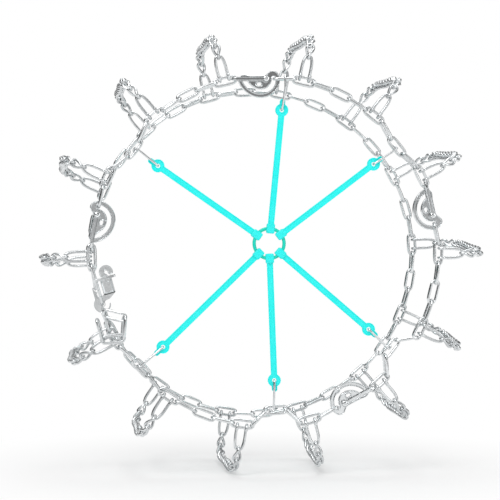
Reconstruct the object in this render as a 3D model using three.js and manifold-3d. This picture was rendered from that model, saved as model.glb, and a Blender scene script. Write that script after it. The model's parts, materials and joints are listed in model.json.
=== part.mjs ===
// A snow chain net, posed as fitted: two side chains joined by arched cross chains, four
// tightening cams and a lever fastener in the outer side chain, and a six-armed rubber tensioner
// hooked to it. Millimetres, +Z up, front towards -Y, origin at the middle of the arches. Angles
// run clockwise from the top as seen from the front.
import * as THREE from 'three';
import { mergeVertices } from 'three/addons/utils/BufferGeometryUtils.js';
import Module from 'manifold-3d';

const wasm = await Module();
wasm.setup();

// The drum that the net is cut to go round
const drumRadius = 402;
const drumHalfWidth = 88;
const shoulderDrop = 6;
const sidePlane = 136;
const shoulderInset = 14;
const crossChainCount = 14;
const firstStationAngle = 12.5;
const bayLinks = 3;

// Wire and fits
const sideWire = 5.5;
const crossWire = 5.5;
const tensionerWire = 4.6;
const equalAreaShare = Math.sqrt(Math.PI) / 2;
const gap = 0.3;
const linkPlay = 1.4;
const hookPlay = 0.5;
const runningGap = 0.35;

// Side chain links
const sidePitch = 36.5;
const sideSpread = 6.75;
const sideShoulder = 5;
const slightPull = 3;
const easyPull = 6;
const firmPull = 9.5;
const fullPull = 25;
const innerRunCount = 5;
const innerStationOffset = 2;

// Cross chain links and their end hooks
const crossLinkCount = 13;
const crossSpread = 6.4;
const hookLength = 40;
const hookSpread = 8.75;
const hookShoulder = 8;
const hookTip = 2.5;

// Tightening cam
const rodClearance = 10.2;
const rodWidth = 6.5;
const rodDepth = 5;
const camReach = 14.6;
const camTurnAngle = 128;
const camSwingAngle = 45;
const camPlateDepth = 3.5;
const camRimRise = 1.8;
const camRimWidth = 2.4;
const camBand = 8;
const camWaist = 7;
const camHeelRise = 4.6;
const camHeelSetback = 2;
const camArcSteps = 9;
const throatSteps = 5;
const rivetRadius = 3.2;
const rivetHeadRadius = 5.3;
const rivetHeadDepth = 2.2;
const rivetCrownShare = 0.7;
const toolSlotLength = 7.4;
const toolSlotWidth = 6;
const toolCollarRadius = 5.8;
const toolAside = 13;
const toolInward = 10;

// Lever fastener
const longLinkLength = 76;
const leverTurnAngle = 100;
const latchWall = 1.6;
const latchRim = 2.6;
const latchDepth = 5;
const leverOffset = 18;
const leverWidth = 22;
const leverReach = 46;
const leverDepth = 8;
const leverGroove = 14;
const leverGrooveDepth = 5.4;
const leverCurl = 3.2;
const keeperWall = 2.2;
const keeperLength = 5;
const keeperCover = 3.5;
const keeperPlay = 5.5;
const tailLinkCount = 4;
const tailStart = 16;
const tailFirstAngle = 120;
const tailBendAngle = 80;
const tailLift = 8;

// Inner hook
const innerHookAngle = 35;
const innerHookPlay = 0.4;

// Rubber tensioner
const hubAcross = 5;
const hubUp = 13.5;
const hubRadius = 27.75;
const hubCord = 6.5;
const sleeveWidth = 15.2;
const sleeveLength = 18.4;
const sleeveDepth = 13;
const strapWidth = 11.4;
const strapDepth = 5;
const eyeletRadius = 12;
const eyeletBore = 4;
const tabWidth = 10;
const tabReach = 20.5;
const tabTaper = 1.5;
const tensionerReach = 48;
const topArmSetback = 10;
const tensionerTail = 9;
const tensionerLeanAngle = 35;
const tensionerNose = 1;
const camHookReach = 35;
const camHookStraight = 18;

// Derived sizes
const sideBar = sideWire * equalAreaShare;
const crossBar = crossWire * equalAreaShare;
const tensionerBar = tensionerWire * equalAreaShare;
const crownStep = (sideBar + linkPlay) / 2;
const barDiagonal = sideBar * Math.SQRT1_2;
const slotHalf = barDiagonal + runningGap;
const linkCrownLength = sidePitch + sideBar;
const throatRadius = slotHalf + latchWall + slotHalf;
const latchRadius = throatRadius + slotHalf + latchRim;
const camFrontFace = camPlateDepth / 2 + camRimRise;
const rodInner = camFrontFace + runningGap;
const rodOuter = rodInner + rodDepth;
const shoulderDepth = sidePlane - shoulderInset;
const chainOverDrum = drumRadius + crossSpread + crossBar / 2;

const degree = Math.PI / 180;
const round = 12;
const bisections = 60;
const depthwise = new THREE.Vector3(0, 1, 0);

const zincSide = { color: 0xc6cacb, roughness: 0.32, metalness: 1 };
const zincCross = { color: 0xbfc4c6, roughness: 0.36, metalness: 1 };
const zincPlate = { color: 0xd0d3d4, roughness: 0.26, metalness: 1 };
const turquoiseRubber = { color: 0x1fd6c9, roughness: 0.45, metalness: 0 };
const greenRubber = { color: 0x14b79b, roughness: 0.5, metalness: 0 };

const net = new THREE.Group();

// Placing a named piece
function place(name, geometry, finish, turn = 0) {
  const mesh = new THREE.Mesh(geometry, new THREE.MeshStandardMaterial(finish));
  mesh.name = name;
  mesh.rotation.y = turn;
  net.add(mesh);
  return mesh;
}

// Closed facets built ring by ring
class Facets {
  constructor() {
    this.corners = [];
  }

  quad(a, b, c, d) {
    this.corners.push(a, b, c, a, c, d);
  }

  tube(rings, closeStart, closeEnd) {
    for (let i = 0; i + 1 < rings.length; i += 1) {
      const near = rings[i];
      const far = rings[i + 1];
      near.forEach((corner, k) => {
        const next = (k + 1) % near.length;
        this.quad(corner, near[next], far[next], far[k]);
      });
    }
    if (closeStart) {
      this.quad(...[...rings[0]].reverse());
    }
    if (closeEnd) {
      this.quad(...rings[rings.length - 1]);
    }
  }

  geometry() {
    const loose = new THREE.BufferGeometry().setFromPoints(this.corners);
    const joined = mergeVertices(loose);
    joined.computeVertexNormals();
    return joined;
  }
}

// A square section given by its middle and two half-width vectors, across x rise = heading
function ring(at, across, rise) {
  const corner = (a, b) => at.clone().addScaledVector(across, a).addScaledVector(rise, b);
  return [corner(1, 1), corner(-1, 1), corner(-1, -1), corner(1, -1)];
}

// Section of a bar at a bend in the plane whose normal is `rise`
function bendAbout(rise, at, cameFrom, goesTo, half) {
  const arriving = at.clone().sub(cameFrom).normalize();
  const leaving = goesTo.clone().sub(at).normalize();
  const heading = arriving.add(leaving).normalize();
  const stretch = half / heading.dot(leaving);
  return ring(at, rise.clone().cross(heading).multiplyScalar(stretch), rise.clone().multiplyScalar(half));
}

// Section of a bar at a bend that turns about `across`
function bendAcross(across, at, cameFrom, goesTo, half) {
  const arriving = at.clone().sub(cameFrom).normalize();
  const leaving = goesTo.clone().sub(at).normalize();
  const heading = arriving.add(leaving).normalize();
  const stretch = half / heading.dot(leaving);
  return ring(at, across.clone().multiplyScalar(half), heading.cross(across).multiplyScalar(stretch));
}

// A joint of a chain: a small block with the earlier link's legs on two faces and the later
// link's legs on the next two. A face with no leg is closed.
function addKnuckle(facets, joint, half) {
  const before = joint.before ?? joint.after.clone().cross(joint.along);
  const after = joint.after ?? joint.along.clone().cross(joint.before);
  const faces = [[joint.along, before], [joint.along.clone().negate(), before]];
  if (!joint.before) {
    faces.push([before, after], [before.clone().negate(), after]);
  }
  if (!joint.after) {
    faces.push([after, before], [after.clone().negate(), before]);
  }
  for (const [outward, edge] of faces) {
    const middle = joint.at.clone().addScaledVector(outward, half);
    const across = edge.clone().multiplyScalar(half);
    const rise = outward.clone().cross(edge).multiplyScalar(half);
    facets.quad(...ring(middle, across, rise));
  }
}

// The two legs of one link between two joints. The legs turn with the link where it is twisted.
// A leg is spread at a shoulder near each end, or only in the middle where the shoulder is zero.
function addLink(facets, from, to, spread, shoulder, half) {
  const length = to.at.distanceTo(from.at);
  const heading = to.at.clone().sub(from.at).normalize();
  const start = from.after;
  const turned = start.dot(to.before) + start.clone().cross(to.before).dot(heading);
  const end = to.before.clone().multiplyScalar(turned < 0 ? -1 : 1);
  const bendShares = shoulder > 0 ? [shoulder / length, 1 - shoulder / length] : [1 / 2];
  const widths = bendShares.map((share) => start.clone().lerp(end, share)
    .projectOnPlane(heading).normalize());
  const startRise = from.along.clone().cross(start);
  const endRise = to.along.clone().cross(end);
  for (const side of [1, -1]) {
    const bends = bendShares.map((share, i) => from.at.clone().lerp(to.at, share)
      .addScaledVector(widths[i], side * spread));
    const leaving = from.at.clone().addScaledVector(start, side * half);
    const arriving = to.at.clone().addScaledVector(end, side * half);
    const stops = [leaving, ...bends, arriving];
    const startAcross = startRise.clone().cross(start).multiplyScalar(side * half);
    const endAcross = endRise.clone().cross(end).multiplyScalar(-side * half);
    facets.tube([
      ring(leaving, startAcross, startRise.clone().multiplyScalar(half)),
      ...bends.map((at, i) => bendAbout(heading.clone().cross(widths[i]), at, stops[i], stops[i + 2], half)),
      ring(arriving, endAcross, endRise.clone().multiplyScalar(half)),
    ], false, false);
  }
}

function strand(joints, spread, shoulder, bar) {
  const facets = new Facets();
  joints.forEach((joint) => addKnuckle(facets, joint, bar / 2));
  for (let k = 0; k + 1 < joints.length; k += 1) {
    addLink(facets, joints[k], joints[k + 1], spread, shoulder, bar / 2);
  }
  return facets;
}

// A square bar through any points, with mitred bends
function mitredBar(points, bar, edge) {
  const headings = points.slice(1).map((point, i) => point.clone().sub(points[i]).normalize());
  const across = edge.clone().projectOnPlane(headings[0]).normalize();
  const rise = headings[0].clone().cross(across);
  let corners = ring(points[0], across.multiplyScalar(bar / 2), rise.multiplyScalar(bar / 2));
  const rings = [corners];
  headings.forEach((heading, i) => {
    const next = headings[i + 1] ?? heading;
    const facing = heading.clone().add(next).normalize();
    corners = corners.map((corner) => {
      const travel = points[i + 1].clone().sub(corner).dot(facing) / heading.dot(facing);
      return corner.clone().addScaledVector(heading, travel);
    });
    rings.push(corners);
  });
  const facets = new Facets();
  facets.tube(rings, true, true);
  return facets.geometry();
}

// Solids for cuts and joins
function solid(geometry) {
  const bare = geometry.clone();
  bare.deleteAttribute('normal');
  bare.deleteAttribute('uv');
  const closed = mergeVertices(bare);
  return new wasm.Manifold(new wasm.Mesh({
    numProp: 3,
    vertProperties: new Float32Array(closed.attributes.position.array),
    triVerts: new Uint32Array(closed.index.array),
  }));
}

function surface(body) {
  const { vertProperties, triVerts } = body.getMesh();
  const geometry = new THREE.BufferGeometry();
  geometry.setAttribute('position', new THREE.BufferAttribute(new Float32Array(vertProperties), 3));
  geometry.setIndex(new THREE.BufferAttribute(new Uint32Array(triVerts), 1));
  geometry.computeVertexNormals();
  return geometry;
}

function joinAndCut(additions, cuts) {
  const whole = additions.map(solid).reduce((sum, item) => sum.add(item));
  return surface(cuts.map(solid).reduce((sum, item) => sum.subtract(item), whole));
}

// A flat shape drawn along and outward, given depth between two planes
function prism(shape, fromDepth, toDepth) {
  const geometry = new THREE.ExtrudeGeometry(shape, {
    depth: toDepth - fromDepth,
    bevelEnabled: false,
    curveSegments: round / 2,
  });
  geometry.rotateX(Math.PI / 2);
  geometry.translate(0, toDepth, 0);
  return geometry;
}

function disc(x, z, radius) {
  const shape = new THREE.Shape();
  shape.absarc(x, z, radius, 0, 2 * Math.PI, false);
  return shape;
}

function rectangle(x0, x1, z0, z1) {
  return new THREE.Shape([[x0, z0], [x1, z0], [x1, z1], [x0, z1]].map(([x, z]) => new THREE.Vector2(x, z)));
}

// A band of even width along a line of points, with round ends
function roundedBand(line, outerHalf, innerHalf) {
  const last = line.length - 1;
  const headingAt = (i) => line[Math.min(i + 1, last)].clone().sub(line[Math.max(i - 1, 0)]).normalize();
  const offset = (i, half) => {
    const heading = headingAt(i);
    return line[i].clone().add(new THREE.Vector2(-heading.y, heading.x).multiplyScalar(half));
  };
  const cap = (i, fromAngle, half) => {
    const arc = [];
    const base = headingAt(i).angle();
    for (let k = 1; k < round / 2; k += 1) {
      const turned = base + fromAngle - (k * Math.PI) / (round / 2);
      const spoke = new THREE.Vector2(Math.cos(turned), Math.sin(turned)).multiplyScalar(half);
      arc.push(line[i].clone().add(spoke));
    }
    return arc;
  };
  const outer = line.map((point, i) => offset(i, outerHalf));
  const inner = line.map((point, i) => offset(i, -innerHalf)).reverse();
  if (outerHalf !== innerHalf) {
    return new THREE.Shape([...outer, ...inner]);
  }
  return new THREE.Shape([
    ...outer,
    ...cap(last, Math.PI / 2, outerHalf),
    ...inner,
    ...cap(0, -Math.PI / 2, outerHalf),
  ]);
}

// Middle of a cam's slot: where the pulled link's crown is as the cam turns, seen from the cam
const camSlotLine = [];
for (let k = 0; k <= camArcSteps; k += 1) {
  const turned = ((k * camTurnAngle) / camArcSteps) * degree;
  const swing = ((k * camSwingAngle) / camArcSteps) * degree;
  const x = camReach + linkCrownLength * (1 - Math.cos(swing));
  const crown = new THREE.Vector2(x, -linkCrownLength * Math.sin(swing));
  camSlotLine.push(crown.rotateAround(new THREE.Vector2(), -turned));
}
const camBack = slotHalf + camBand - Math.min(...camSlotLine.map((point) => point.x));
const rodLength = camBack + rodClearance;

// Path of the side chain. Every bay spans a chord of one circle, whose radius closes the ring.
const bays = [
  { kind: 'plain' },
  { kind: 'pulled', pull: easyPull },
  { kind: 'cam' },
  { kind: 'plain' },
  { kind: 'pulled', pull: fullPull },
  { kind: 'cam' },
  { kind: 'pulled', pull: fullPull },
  { kind: 'plain' },
  { kind: 'pulled', pull: slightPull },
  { kind: 'fastener' },
  { kind: 'cam' },
  { kind: 'pulled', pull: firmPull },
  { kind: 'plain' },
  { kind: 'cam' },
];

function bayChords(bay) {
  if (bay.kind === 'cam') {
    return [rodLength + camReach + linkCrownLength - 2 * crownStep];
  }
  if (bay.kind === 'fastener') {
    return [sidePitch + throatRadius + longLinkLength];
  }
  if (bay.kind === 'pulled') {
    return [sidePitch + 2 * Math.sqrt(sidePitch ** 2 - bay.pull ** 2)];
  }
  return new Array(bayLinks).fill(sidePitch);
}

const halfAngle = (chord, radius) => Math.asin(chord / (2 * radius));

function closingRadius(chords) {
  let low = drumRadius / 2;
  let high = drumRadius;
  for (let step = 0; step < bisections; step += 1) {
    const middle = (low + high) / 2;
    const turned = chords.reduce((sum, chord) => sum + halfAngle(chord, middle), 0);
    if (turned > Math.PI) {
      low = middle;
    } else {
      high = middle;
    }
  }
  return low;
}

const outerChords = bays.flatMap((bay) => [sidePitch, ...bayChords(bay)]);
const outerRadius = closingRadius(outerChords);
const innerLinks = (bayLinks + 1) * crossChainCount;
const innerRadius = sidePitch / (2 * Math.sin(Math.PI / innerLinks));

function ringPoint(angle, radius, depth) {
  return new THREE.Vector3(radius * Math.sin(angle), depth, radius * Math.cos(angle));
}

// Station links, which carry the cross chains, and the bay that follows each of them
let angle = firstStationAngle * degree - halfAngle(sidePitch, outerRadius);
bays.forEach((bay) => {
  bay.stationStart = angle;
  angle += 2 * halfAngle(sidePitch, outerRadius);
  bay.start = angle;
  bayChords(bay).forEach((chord) => {
    angle += 2 * halfAngle(chord, outerRadius);
  });
  bay.end = angle;
  bay.station = (bay.stationStart + bay.start) / 2;
  bay.middle = (bay.start + bay.end) / 2;
  bay.half = outerRadius * Math.sin((bay.end - bay.start) / 2);
  bay.distance = outerRadius * Math.cos((bay.end - bay.start) / 2);
});

// Joints of a run of links around the ring, flat and edge-on by turns
function ringJoints(points, firstIsFlat, endStep = crownStep) {
  const last = points.length - 1;
  return points.map((point, i) => {
    const ahead = points[Math.min(i + 1, last)].clone().sub(points[Math.min(i, last - 1)]).normalize();
    const behind = points[Math.max(i, 1)].clone().sub(points[Math.max(i - 1, 0)]).normalize();
    const along = ahead.add(behind).normalize();
    const outward = along.clone().cross(depthwise).normalize();
    const flatAfter = (i % 2 === 0) === firstIsFlat;
    const at = point.clone();
    if (i === 0) {
      at.addScaledVector(along, -endStep);
    }
    if (i === last) {
      at.addScaledVector(along, endStep);
    }
    const square = outward.clone().cross(along);
    const after = flatAfter ? outward : square;
    const before = flatAfter ? square : outward;
    return { at, along, before: i === 0 ? null : before, after: i === last ? null : after };
  });
}

function bayPoint(bay, along, inward, depth) {
  const point = new THREE.Vector3(along, depth, bay.distance - inward);
  return point.applyAxisAngle(depthwise, bay.middle);
}

function bayJoints(bay) {
  if (bay.kind === 'pulled') {
    return [-1, 1].map((side) => bayPoint(bay, (side * sidePitch) / 2, bay.pull, -sidePlane));
  }
  const step = (bay.end - bay.start) / bayLinks;
  return [1, 2].map((k) => ringPoint(bay.start + k * step, outerRadius, -sidePlane));
}

// Outer side chain, in the lengths between the cams and the lever fastener
const letters = 'abcdefghijklmn';
const fastenerBay = bays.findIndex((bay) => bay.kind === 'fastener');

function outerRun(first, count) {
  const points = [];
  for (let k = first; k < first + count; k += 1) {
    const bay = bays[k % bays.length];
    points.push(ringPoint(bay.stationStart, outerRadius, -sidePlane));
    points.push(ringPoint(bay.start, outerRadius, -sidePlane));
    if (k + 1 < first + count) {
      points.push(...bayJoints(bay));
    }
  }
  return points;
}

let runStart = bays.findIndex((bay) => bay.kind === 'cam') + 1;
const lastRun = runStart + bays.length;
while (runStart < lastRun) {
  let count = 1;
  while (['plain', 'pulled'].includes(bays[(runStart + count - 1) % bays.length].kind)) {
    count += 1;
  }
  const points = outerRun(runStart, count);
  const endBay = (runStart + count - 1) % bays.length;
  if (endBay === fastenerBay) {
    points.push(bayPoint(bays[endBay], sidePitch - bays[endBay].half, 0, -sidePlane));
  }
  const firstLetter = letters[runStart % bays.length];
  const lastPart = count === 1 ? '' : `_to_${letters[endBay]}`;
  const links = strand(ringJoints(points, true), sideSpread, sideShoulder, sideBar);
  place(`outer_chain_${firstLetter}${lastPart}`, links.geometry(), zincSide);
  runStart += count;
}

// Inner side chain: the same links on a regular ring, in five lengths, closed by one hook
const innerStart = bays[fastenerBay].middle - Math.PI / innerLinks;
const innerStep = (2 * Math.PI) / innerLinks;

function innerAngle(index) {
  return innerStart + index * innerStep;
}

for (let run = 0; run < innerRunCount; run += 1) {
  const from = 1 + Math.floor((run * (innerLinks - 1)) / innerRunCount);
  const to = 1 + Math.floor(((run + 1) * (innerLinks - 1)) / innerRunCount);
  const points = [];
  for (let k = from; k <= to; k += 1) {
    points.push(ringPoint(innerAngle(k), innerRadius, sidePlane));
  }
  const joints = ringJoints(points, from % 2 === 0);
  place(`inner_chain_${run + 1}`, strand(joints, sideSpread, sideShoulder, sideBar).geometry(), zincSide);
}

// Cross chains
function stationFrame(stationAngle, radius, depth) {
  const outward = new THREE.Vector3(Math.sin(stationAngle), 0, Math.cos(stationAngle));
  const flatRadius = radius * Math.cos(halfAngle(sidePitch, radius));
  return {
    outward,
    tangent: depthwise.clone().cross(outward),
    leg: outward.clone().multiplyScalar(flatRadius + sideSpread).setY(depth),
    inboard: new THREE.Vector3(0, -Math.sign(depth), 0),
  };
}

// Two legs from the last joint to the station link, bent round its outer leg
function addEndHook(facets, joint, towards, frame) {
  const half = crossBar / 2;
  const clear = (sideBar + crossBar) / 2 + hookPlay;
  const rise = towards.clone().cross(frame.tangent).normalize();
  for (const side of [1, -1]) {
    const face = joint.at.clone().addScaledVector(frame.tangent, side * half);
    const shift = frame.tangent.clone().multiplyScalar(side * hookSpread);
    const neck = joint.at.clone().addScaledVector(towards, hookShoulder).add(shift);
    const behind = frame.leg.clone().addScaledVector(frame.inboard, clear);
    behind.addScaledVector(frame.outward, -clear).add(shift);
    const ahead = behind.clone().addScaledVector(frame.inboard, -2 * clear);
    const tip = ahead.clone().addScaledVector(frame.outward, clear + hookTip);
    const startAcross = rise.clone().cross(frame.tangent).multiplyScalar(side * half);
    facets.tube([
      ring(face, startAcross, rise.clone().multiplyScalar(half)),
      bendAbout(rise, neck, face, behind, half),
      bendAcross(frame.tangent, behind, neck, ahead, half),
      bendAcross(frame.tangent, ahead, behind, tip, half),
      ring(tip, frame.tangent.clone().multiplyScalar(half),
        frame.outward.clone().cross(frame.tangent).multiplyScalar(half)),
    ], false, true);
  }
}

function crossChain(index) {
  const outer = stationFrame(bays[index].station, outerRadius, -sidePlane);
  const innerIndex = innerStationOffset + (bayLinks + 1) * (index - fastenerBay - 1) + 1 / 2;
  const inner = stationFrame(innerAngle(innerIndex), innerRadius, sidePlane);
  const shoulderRadius = drumRadius - shoulderDrop;
  const outerTurn = Math.atan2(outer.outward.x, outer.outward.z);
  let turn = Math.atan2(inner.outward.x, inner.outward.z) - outerTurn;
  turn = Math.atan2(Math.sin(turn), Math.cos(turn));
  const span = (depth) => outerTurn + (turn * (depth + sidePlane)) / (2 * sidePlane);
  const over = [
    [-shoulderDepth, shoulderRadius],
    [-drumHalfWidth, chainOverDrum],
    [0, chainOverDrum],
    [drumHalfWidth, chainOverDrum],
    [shoulderDepth, shoulderRadius],
  ].map(([depth, radius]) => ringPoint(span(depth), radius, depth));
  const path = new THREE.CatmullRomCurve3([outer.leg, ...over, inner.leg], false, 'centripetal');
  const length = path.getLength();
  const hookShare = hookLength / length;
  const joints = [];
  for (let k = 0; k <= crossLinkCount; k += 1) {
    const share = hookShare + ((1 - 2 * hookShare) * k) / crossLinkCount;
    const along = path.getTangentAt(share);
    const sideways = depthwise.clone().cross(path.getPointAt(share).setY(0));
    sideways.projectOnPlane(along).normalize();
    const lifted = sideways.clone().cross(along);
    joints.push({ at: path.getPointAt(share), along, before: sideways, after: lifted });
  }
  const first = joints[0];
  const last = joints[crossLinkCount];
  [last.before, last.after] = [last.after, last.before];
  outer.tangent = first.before;
  inner.tangent = last.after;
  const facets = strand(joints, crossSpread, 0, crossBar);
  addEndHook(facets, first, first.along.clone().negate(), outer);
  addEndHook(facets, last, last.along, inner);
  return facets.geometry();
}

for (let index = 0; index < crossChainCount; index += 1) {
  place(`cross_chain_${letters[index]}`, crossChain(index), zincCross);
}

// Tightening cams, each in a frame with its rivet at the origin and the next station along +X
function camPlate() {
  const line = camSlotLine;
  const back = camPlateDepth / 2;
  const outerHalf = slotHalf + camBand;
  const rimLine = roundedBand(line, outerHalf, camRimWidth - outerHalf);
  const additions = [
    prism(roundedBand(line, outerHalf, outerHalf), -back, back),
    prism(new THREE.Shape([...line].reverse()), -back, back),
    prism(rectangle(line[camArcSteps].x, camReach, 0, camWaist), -back, back),
    prism(disc(camReach - camHeelSetback, camHeelRise, outerHalf), -back, back),
    prism(rimLine, -camFrontFace, 0),
    prism(disc(-toolAside, -toolInward, toolCollarRadius), -camFrontFace, 0),
  ];
  const toolSlot = rectangle(-toolAside - toolSlotLength / 2, -toolAside + toolSlotLength / 2,
    -toolInward - toolSlotWidth / 2, -toolInward + toolSlotWidth / 2);
  const cuts = [
    prism(roundedBand(line, slotHalf, slotHalf), -camFrontFace - gap, back + gap),
    prism(disc(0, 0, rivetRadius + gap), -camFrontFace - gap, back + gap),
    prism(toolSlot, -camFrontFace - gap, back + gap),
  ];
  return joinAndCut(additions, cuts);
}

function camRod() {
  const half = rodWidth / 2;
  const eye = rodWidth;
  const additions = [
    prism(rectangle(-rodLength - sideBar / 2, 0, -half, half), -rodOuter, -rodInner),
    prism(rectangle(-rodLength - sideBar / 2, 0, -half, half), rodInner, rodOuter),
    prism(disc(0, 0, eye), -rodOuter, -rodInner),
    prism(disc(0, 0, eye), rodInner, rodOuter),
    prism(rectangle(-rodLength - sideBar / 2, -rodLength + sideBar / 2, -sideBar / 2, sideBar / 2),
      -rodOuter, rodOuter),
  ];
  return joinAndCut(additions, [prism(disc(0, 0, rivetRadius + gap), -rodOuter - gap, rodOuter + gap)]);
}

function camRivet() {
  const shank = rodOuter + gap;
  const head = shank + rivetHeadDepth;
  const crowned = rivetHeadRadius * rivetCrownShare;
  const profile = [[0, -head], [crowned, -head], [rivetHeadRadius, -shank], [rivetRadius, -shank],
    [rivetRadius, shank], [rivetHeadRadius, shank], [crowned, head], [0, head]];
  const turned = new THREE.LatheGeometry(profile.map(([x, y]) => new THREE.Vector2(x, y)), round);
  return joinAndCut([turned], []);
}

// One closed edge-on link between two crowns, along +X
function edgeLink(from, to) {
  const along = new THREE.Vector3(1, 0, 0);
  const joints = [
    { at: new THREE.Vector3(from, 0, 0), along, before: null, after: depthwise },
    { at: new THREE.Vector3(to, 0, 0), along, before: depthwise, after: null },
  ];
  return strand(joints, sideSpread, sideShoulder, sideBar).geometry();
}

function placeInBay(name, geometry, finish, bay, along) {
  const mesh = place(name, geometry, finish, bay.middle);
  mesh.position.copy(bayPoint(bay, along, 0, -sidePlane));
}

const camBays = bays.filter((bay) => bay.kind === 'cam');
const topCam = camBays[camBays.length - 1];
[topCam, camBays[0], camBays[1], camBays[2]].forEach((bay, i) => {
  const rivetAlong = rodLength - crownStep - bay.half;
  bay.rivetAlong = rivetAlong;
  const number = i + 1;
  placeInBay(`cam_${number}_plate`, camPlate(), zincPlate, bay, rivetAlong);
  placeInBay(`cam_${number}_rod`, camRod(), zincPlate, bay, rivetAlong);
  placeInBay(`cam_${number}_rivet`, camRivet(), zincPlate, bay, rivetAlong);
  const pulledLink = edgeLink(camReach, camReach + linkCrownLength);
  placeInBay(`cam_${number}_link`, pulledLink, zincSide, bay, rivetAlong);
});

// Lever fastener, in a frame with the lever's pivot at the origin and the long link along +X
function arcLine(radius, fromDegrees, toDegrees, steps) {
  const line = [];
  for (let k = 0; k <= steps; k += 1) {
    const at = (fromDegrees + ((toDegrees - fromDegrees) * k) / steps) * degree;
    line.push(new THREE.Vector2(Math.cos(at), Math.sin(at)).multiplyScalar(radius));
  }
  return line;
}

function polygon(points) {
  return new THREE.Shape(points.map(([x, z]) => new THREE.Vector2(x, z)));
}

function lever() {
  const back = latchDepth / 2;
  const front = leverDepth / 2;
  const inner = -leverOffset - leverWidth / 2;
  const outer = -leverOffset + leverWidth / 2;
  const root = slotHalf + latchRim;
  const arm = polygon([
    [root, -latchRadius],
    [latchRadius, inner],
    [leverReach - leverCurl, inner],
    [leverReach, inner + leverCurl],
    [leverReach, outer - leverCurl],
    [leverReach - leverCurl, outer],
    [latchRadius + leverCurl, outer],
    [latchRadius - latchRim, 0],
    [root, 0],
  ]);
  const groove = rectangle(latchRadius + latchWall, leverReach - leverCurl,
    -leverOffset - leverGroove / 2, -leverOffset + leverGroove / 2);
  const throat = arcLine(throatRadius, 180, 180 + leverTurnAngle, throatSteps);
  const throatEnd = throat[throat.length - 1];
  const mouth = [throatEnd, throatEnd.clone().setLength(latchRadius + slotHalf)];
  const additions = [prism(disc(0, 0, latchRadius), -back, back), prism(arm, -front, front)];
  const cuts = [
    prism(disc(0, 0, slotHalf), -front - gap, front + gap),
    prism(roundedBand(throat, slotHalf, slotHalf), -front - gap, front + gap),
    prism(roundedBand(mouth, slotHalf, slotHalf), -front - gap, front + gap),
    prism(groove, -front - gap, leverGrooveDepth - front),
  ];
  return joinAndCut(additions, cuts);
}

function keeper() {
  const outer = sideBar / 2 + runningGap;
  const inner = -leverOffset - leverWidth / 2 - keeperPlay;
  const side = sideSpread + sideBar / 2 + runningGap;
  const frame = polygon([[inner - keeperWall, -side - keeperWall], [outer + keeperWall, -side - keeperWall],
    [outer + keeperWall, side + keeperWall], [inner - keeperWall, side + keeperWall]]);
  frame.holes.push(polygon([[inner, -side], [inner, side], [outer, side], [outer, -side]]));
  const geometry = new THREE.ExtrudeGeometry(frame, { depth: keeperLength, bevelEnabled: false });
  geometry.rotateY(-Math.PI / 2);
  geometry.translate(leverReach - keeperCover + keeperLength, 0, 0);
  return joinAndCut([geometry], []);
}

// Spare end of the chain, looped in front of the link that the lever holds
function tail() {
  const front = -sideSpread - sideBar - gap - runningGap;
  const points = [new THREE.Vector3(-tailStart, front, 0)];
  for (let k = 0; k < tailLinkCount; k += 1) {
    const heading = -(tailFirstAngle + k * tailBendAngle) * degree;
    const step = new THREE.Vector3(Math.cos(heading), 0, Math.sin(heading)).multiplyScalar(sidePitch);
    const next = points[k].clone().add(step);
    next.y = front - tailLift;
    points.push(next);
  }
  return strand(ringJoints(points, true, 0), sideSpread, sideShoulder, sideBar).geometry();
}

const fastener = bays[fastenerBay];
const pivotAlong = sidePitch + crownStep + throatRadius - fastener.half;
placeInBay('fastener_long_link', edgeLink(0, longLinkLength), zincSide, fastener, pivotAlong);
placeInBay('fastener_lever', lever(), zincPlate, fastener, pivotAlong);
placeInBay('fastener_keeper', keeper(), zincPlate, fastener, pivotAlong);
placeInBay('fastener_tail', tail(), zincSide, fastener, pivotAlong);

// Hook that closes the inner side chain. It turns on one end link and its throat holds the other.
function innerHook() {
  const reach = sidePitch - 2 * crownStep;
  const half = latchDepth / 2;
  const bore = slotHalf + innerHookPlay;
  const eye = bore + latchRim;
  const additions = [
    prism(disc(0, 0, eye), -half, half),
    prism(disc(reach, 0, eye), -half, half),
    prism(rectangle(0, reach, 0, eye), -half, half),
  ];
  const throat = arcLine(reach, 0, -innerHookAngle, throatSteps);
  const cuts = [
    prism(disc(0, 0, bore), -half - gap, half + gap),
    prism(roundedBand(throat, bore, bore), -half - gap, half + gap),
  ];
  return joinAndCut(additions, cuts);
}

const innerHookMesh = place('inner_hook', innerHook(), zincPlate, innerAngle(1 / 2));
innerHookMesh.position.copy(ringPoint(innerAngle(1 / 2), innerRadius * Math.cos(innerStep / 2), sidePlane));
innerHookMesh.position.addScaledVector(
  new THREE.Vector3(1, 0, 0).applyAxisAngle(depthwise, innerAngle(1 / 2)),
  crownStep - sidePitch / 2,
);

// Rubber tensioner: a ring with six arms, each hooked to the outer side chain
const hubMiddle = new THREE.Vector3(hubAcross, -sidePlane, hubUp);

function hubRing(cordRadius) {
  const geometry = new THREE.TorusGeometry(hubRadius, cordRadius, round / 2, 2 * round);
  geometry.rotateX(Math.PI / 2);
  return geometry;
}

const hubMesh = place('tensioner_ring', joinAndCut([hubRing(hubCord / 2)], []), greenRubber);
hubMesh.position.copy(hubMiddle);

function bayOutward(bay) {
  return new THREE.Vector3(0, 0, 1).applyAxisAngle(depthwise, bay.middle);
}

function hookSeat(bay) {
  if (bay.kind === 'cam') {
    return bayPoint(bay, bay.rivetAlong + camHookReach, 0, -sidePlane - sideSpread);
  }
  return bayPoint(bay, 0, bay.pull + sideSpread, -sidePlane);
}

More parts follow.
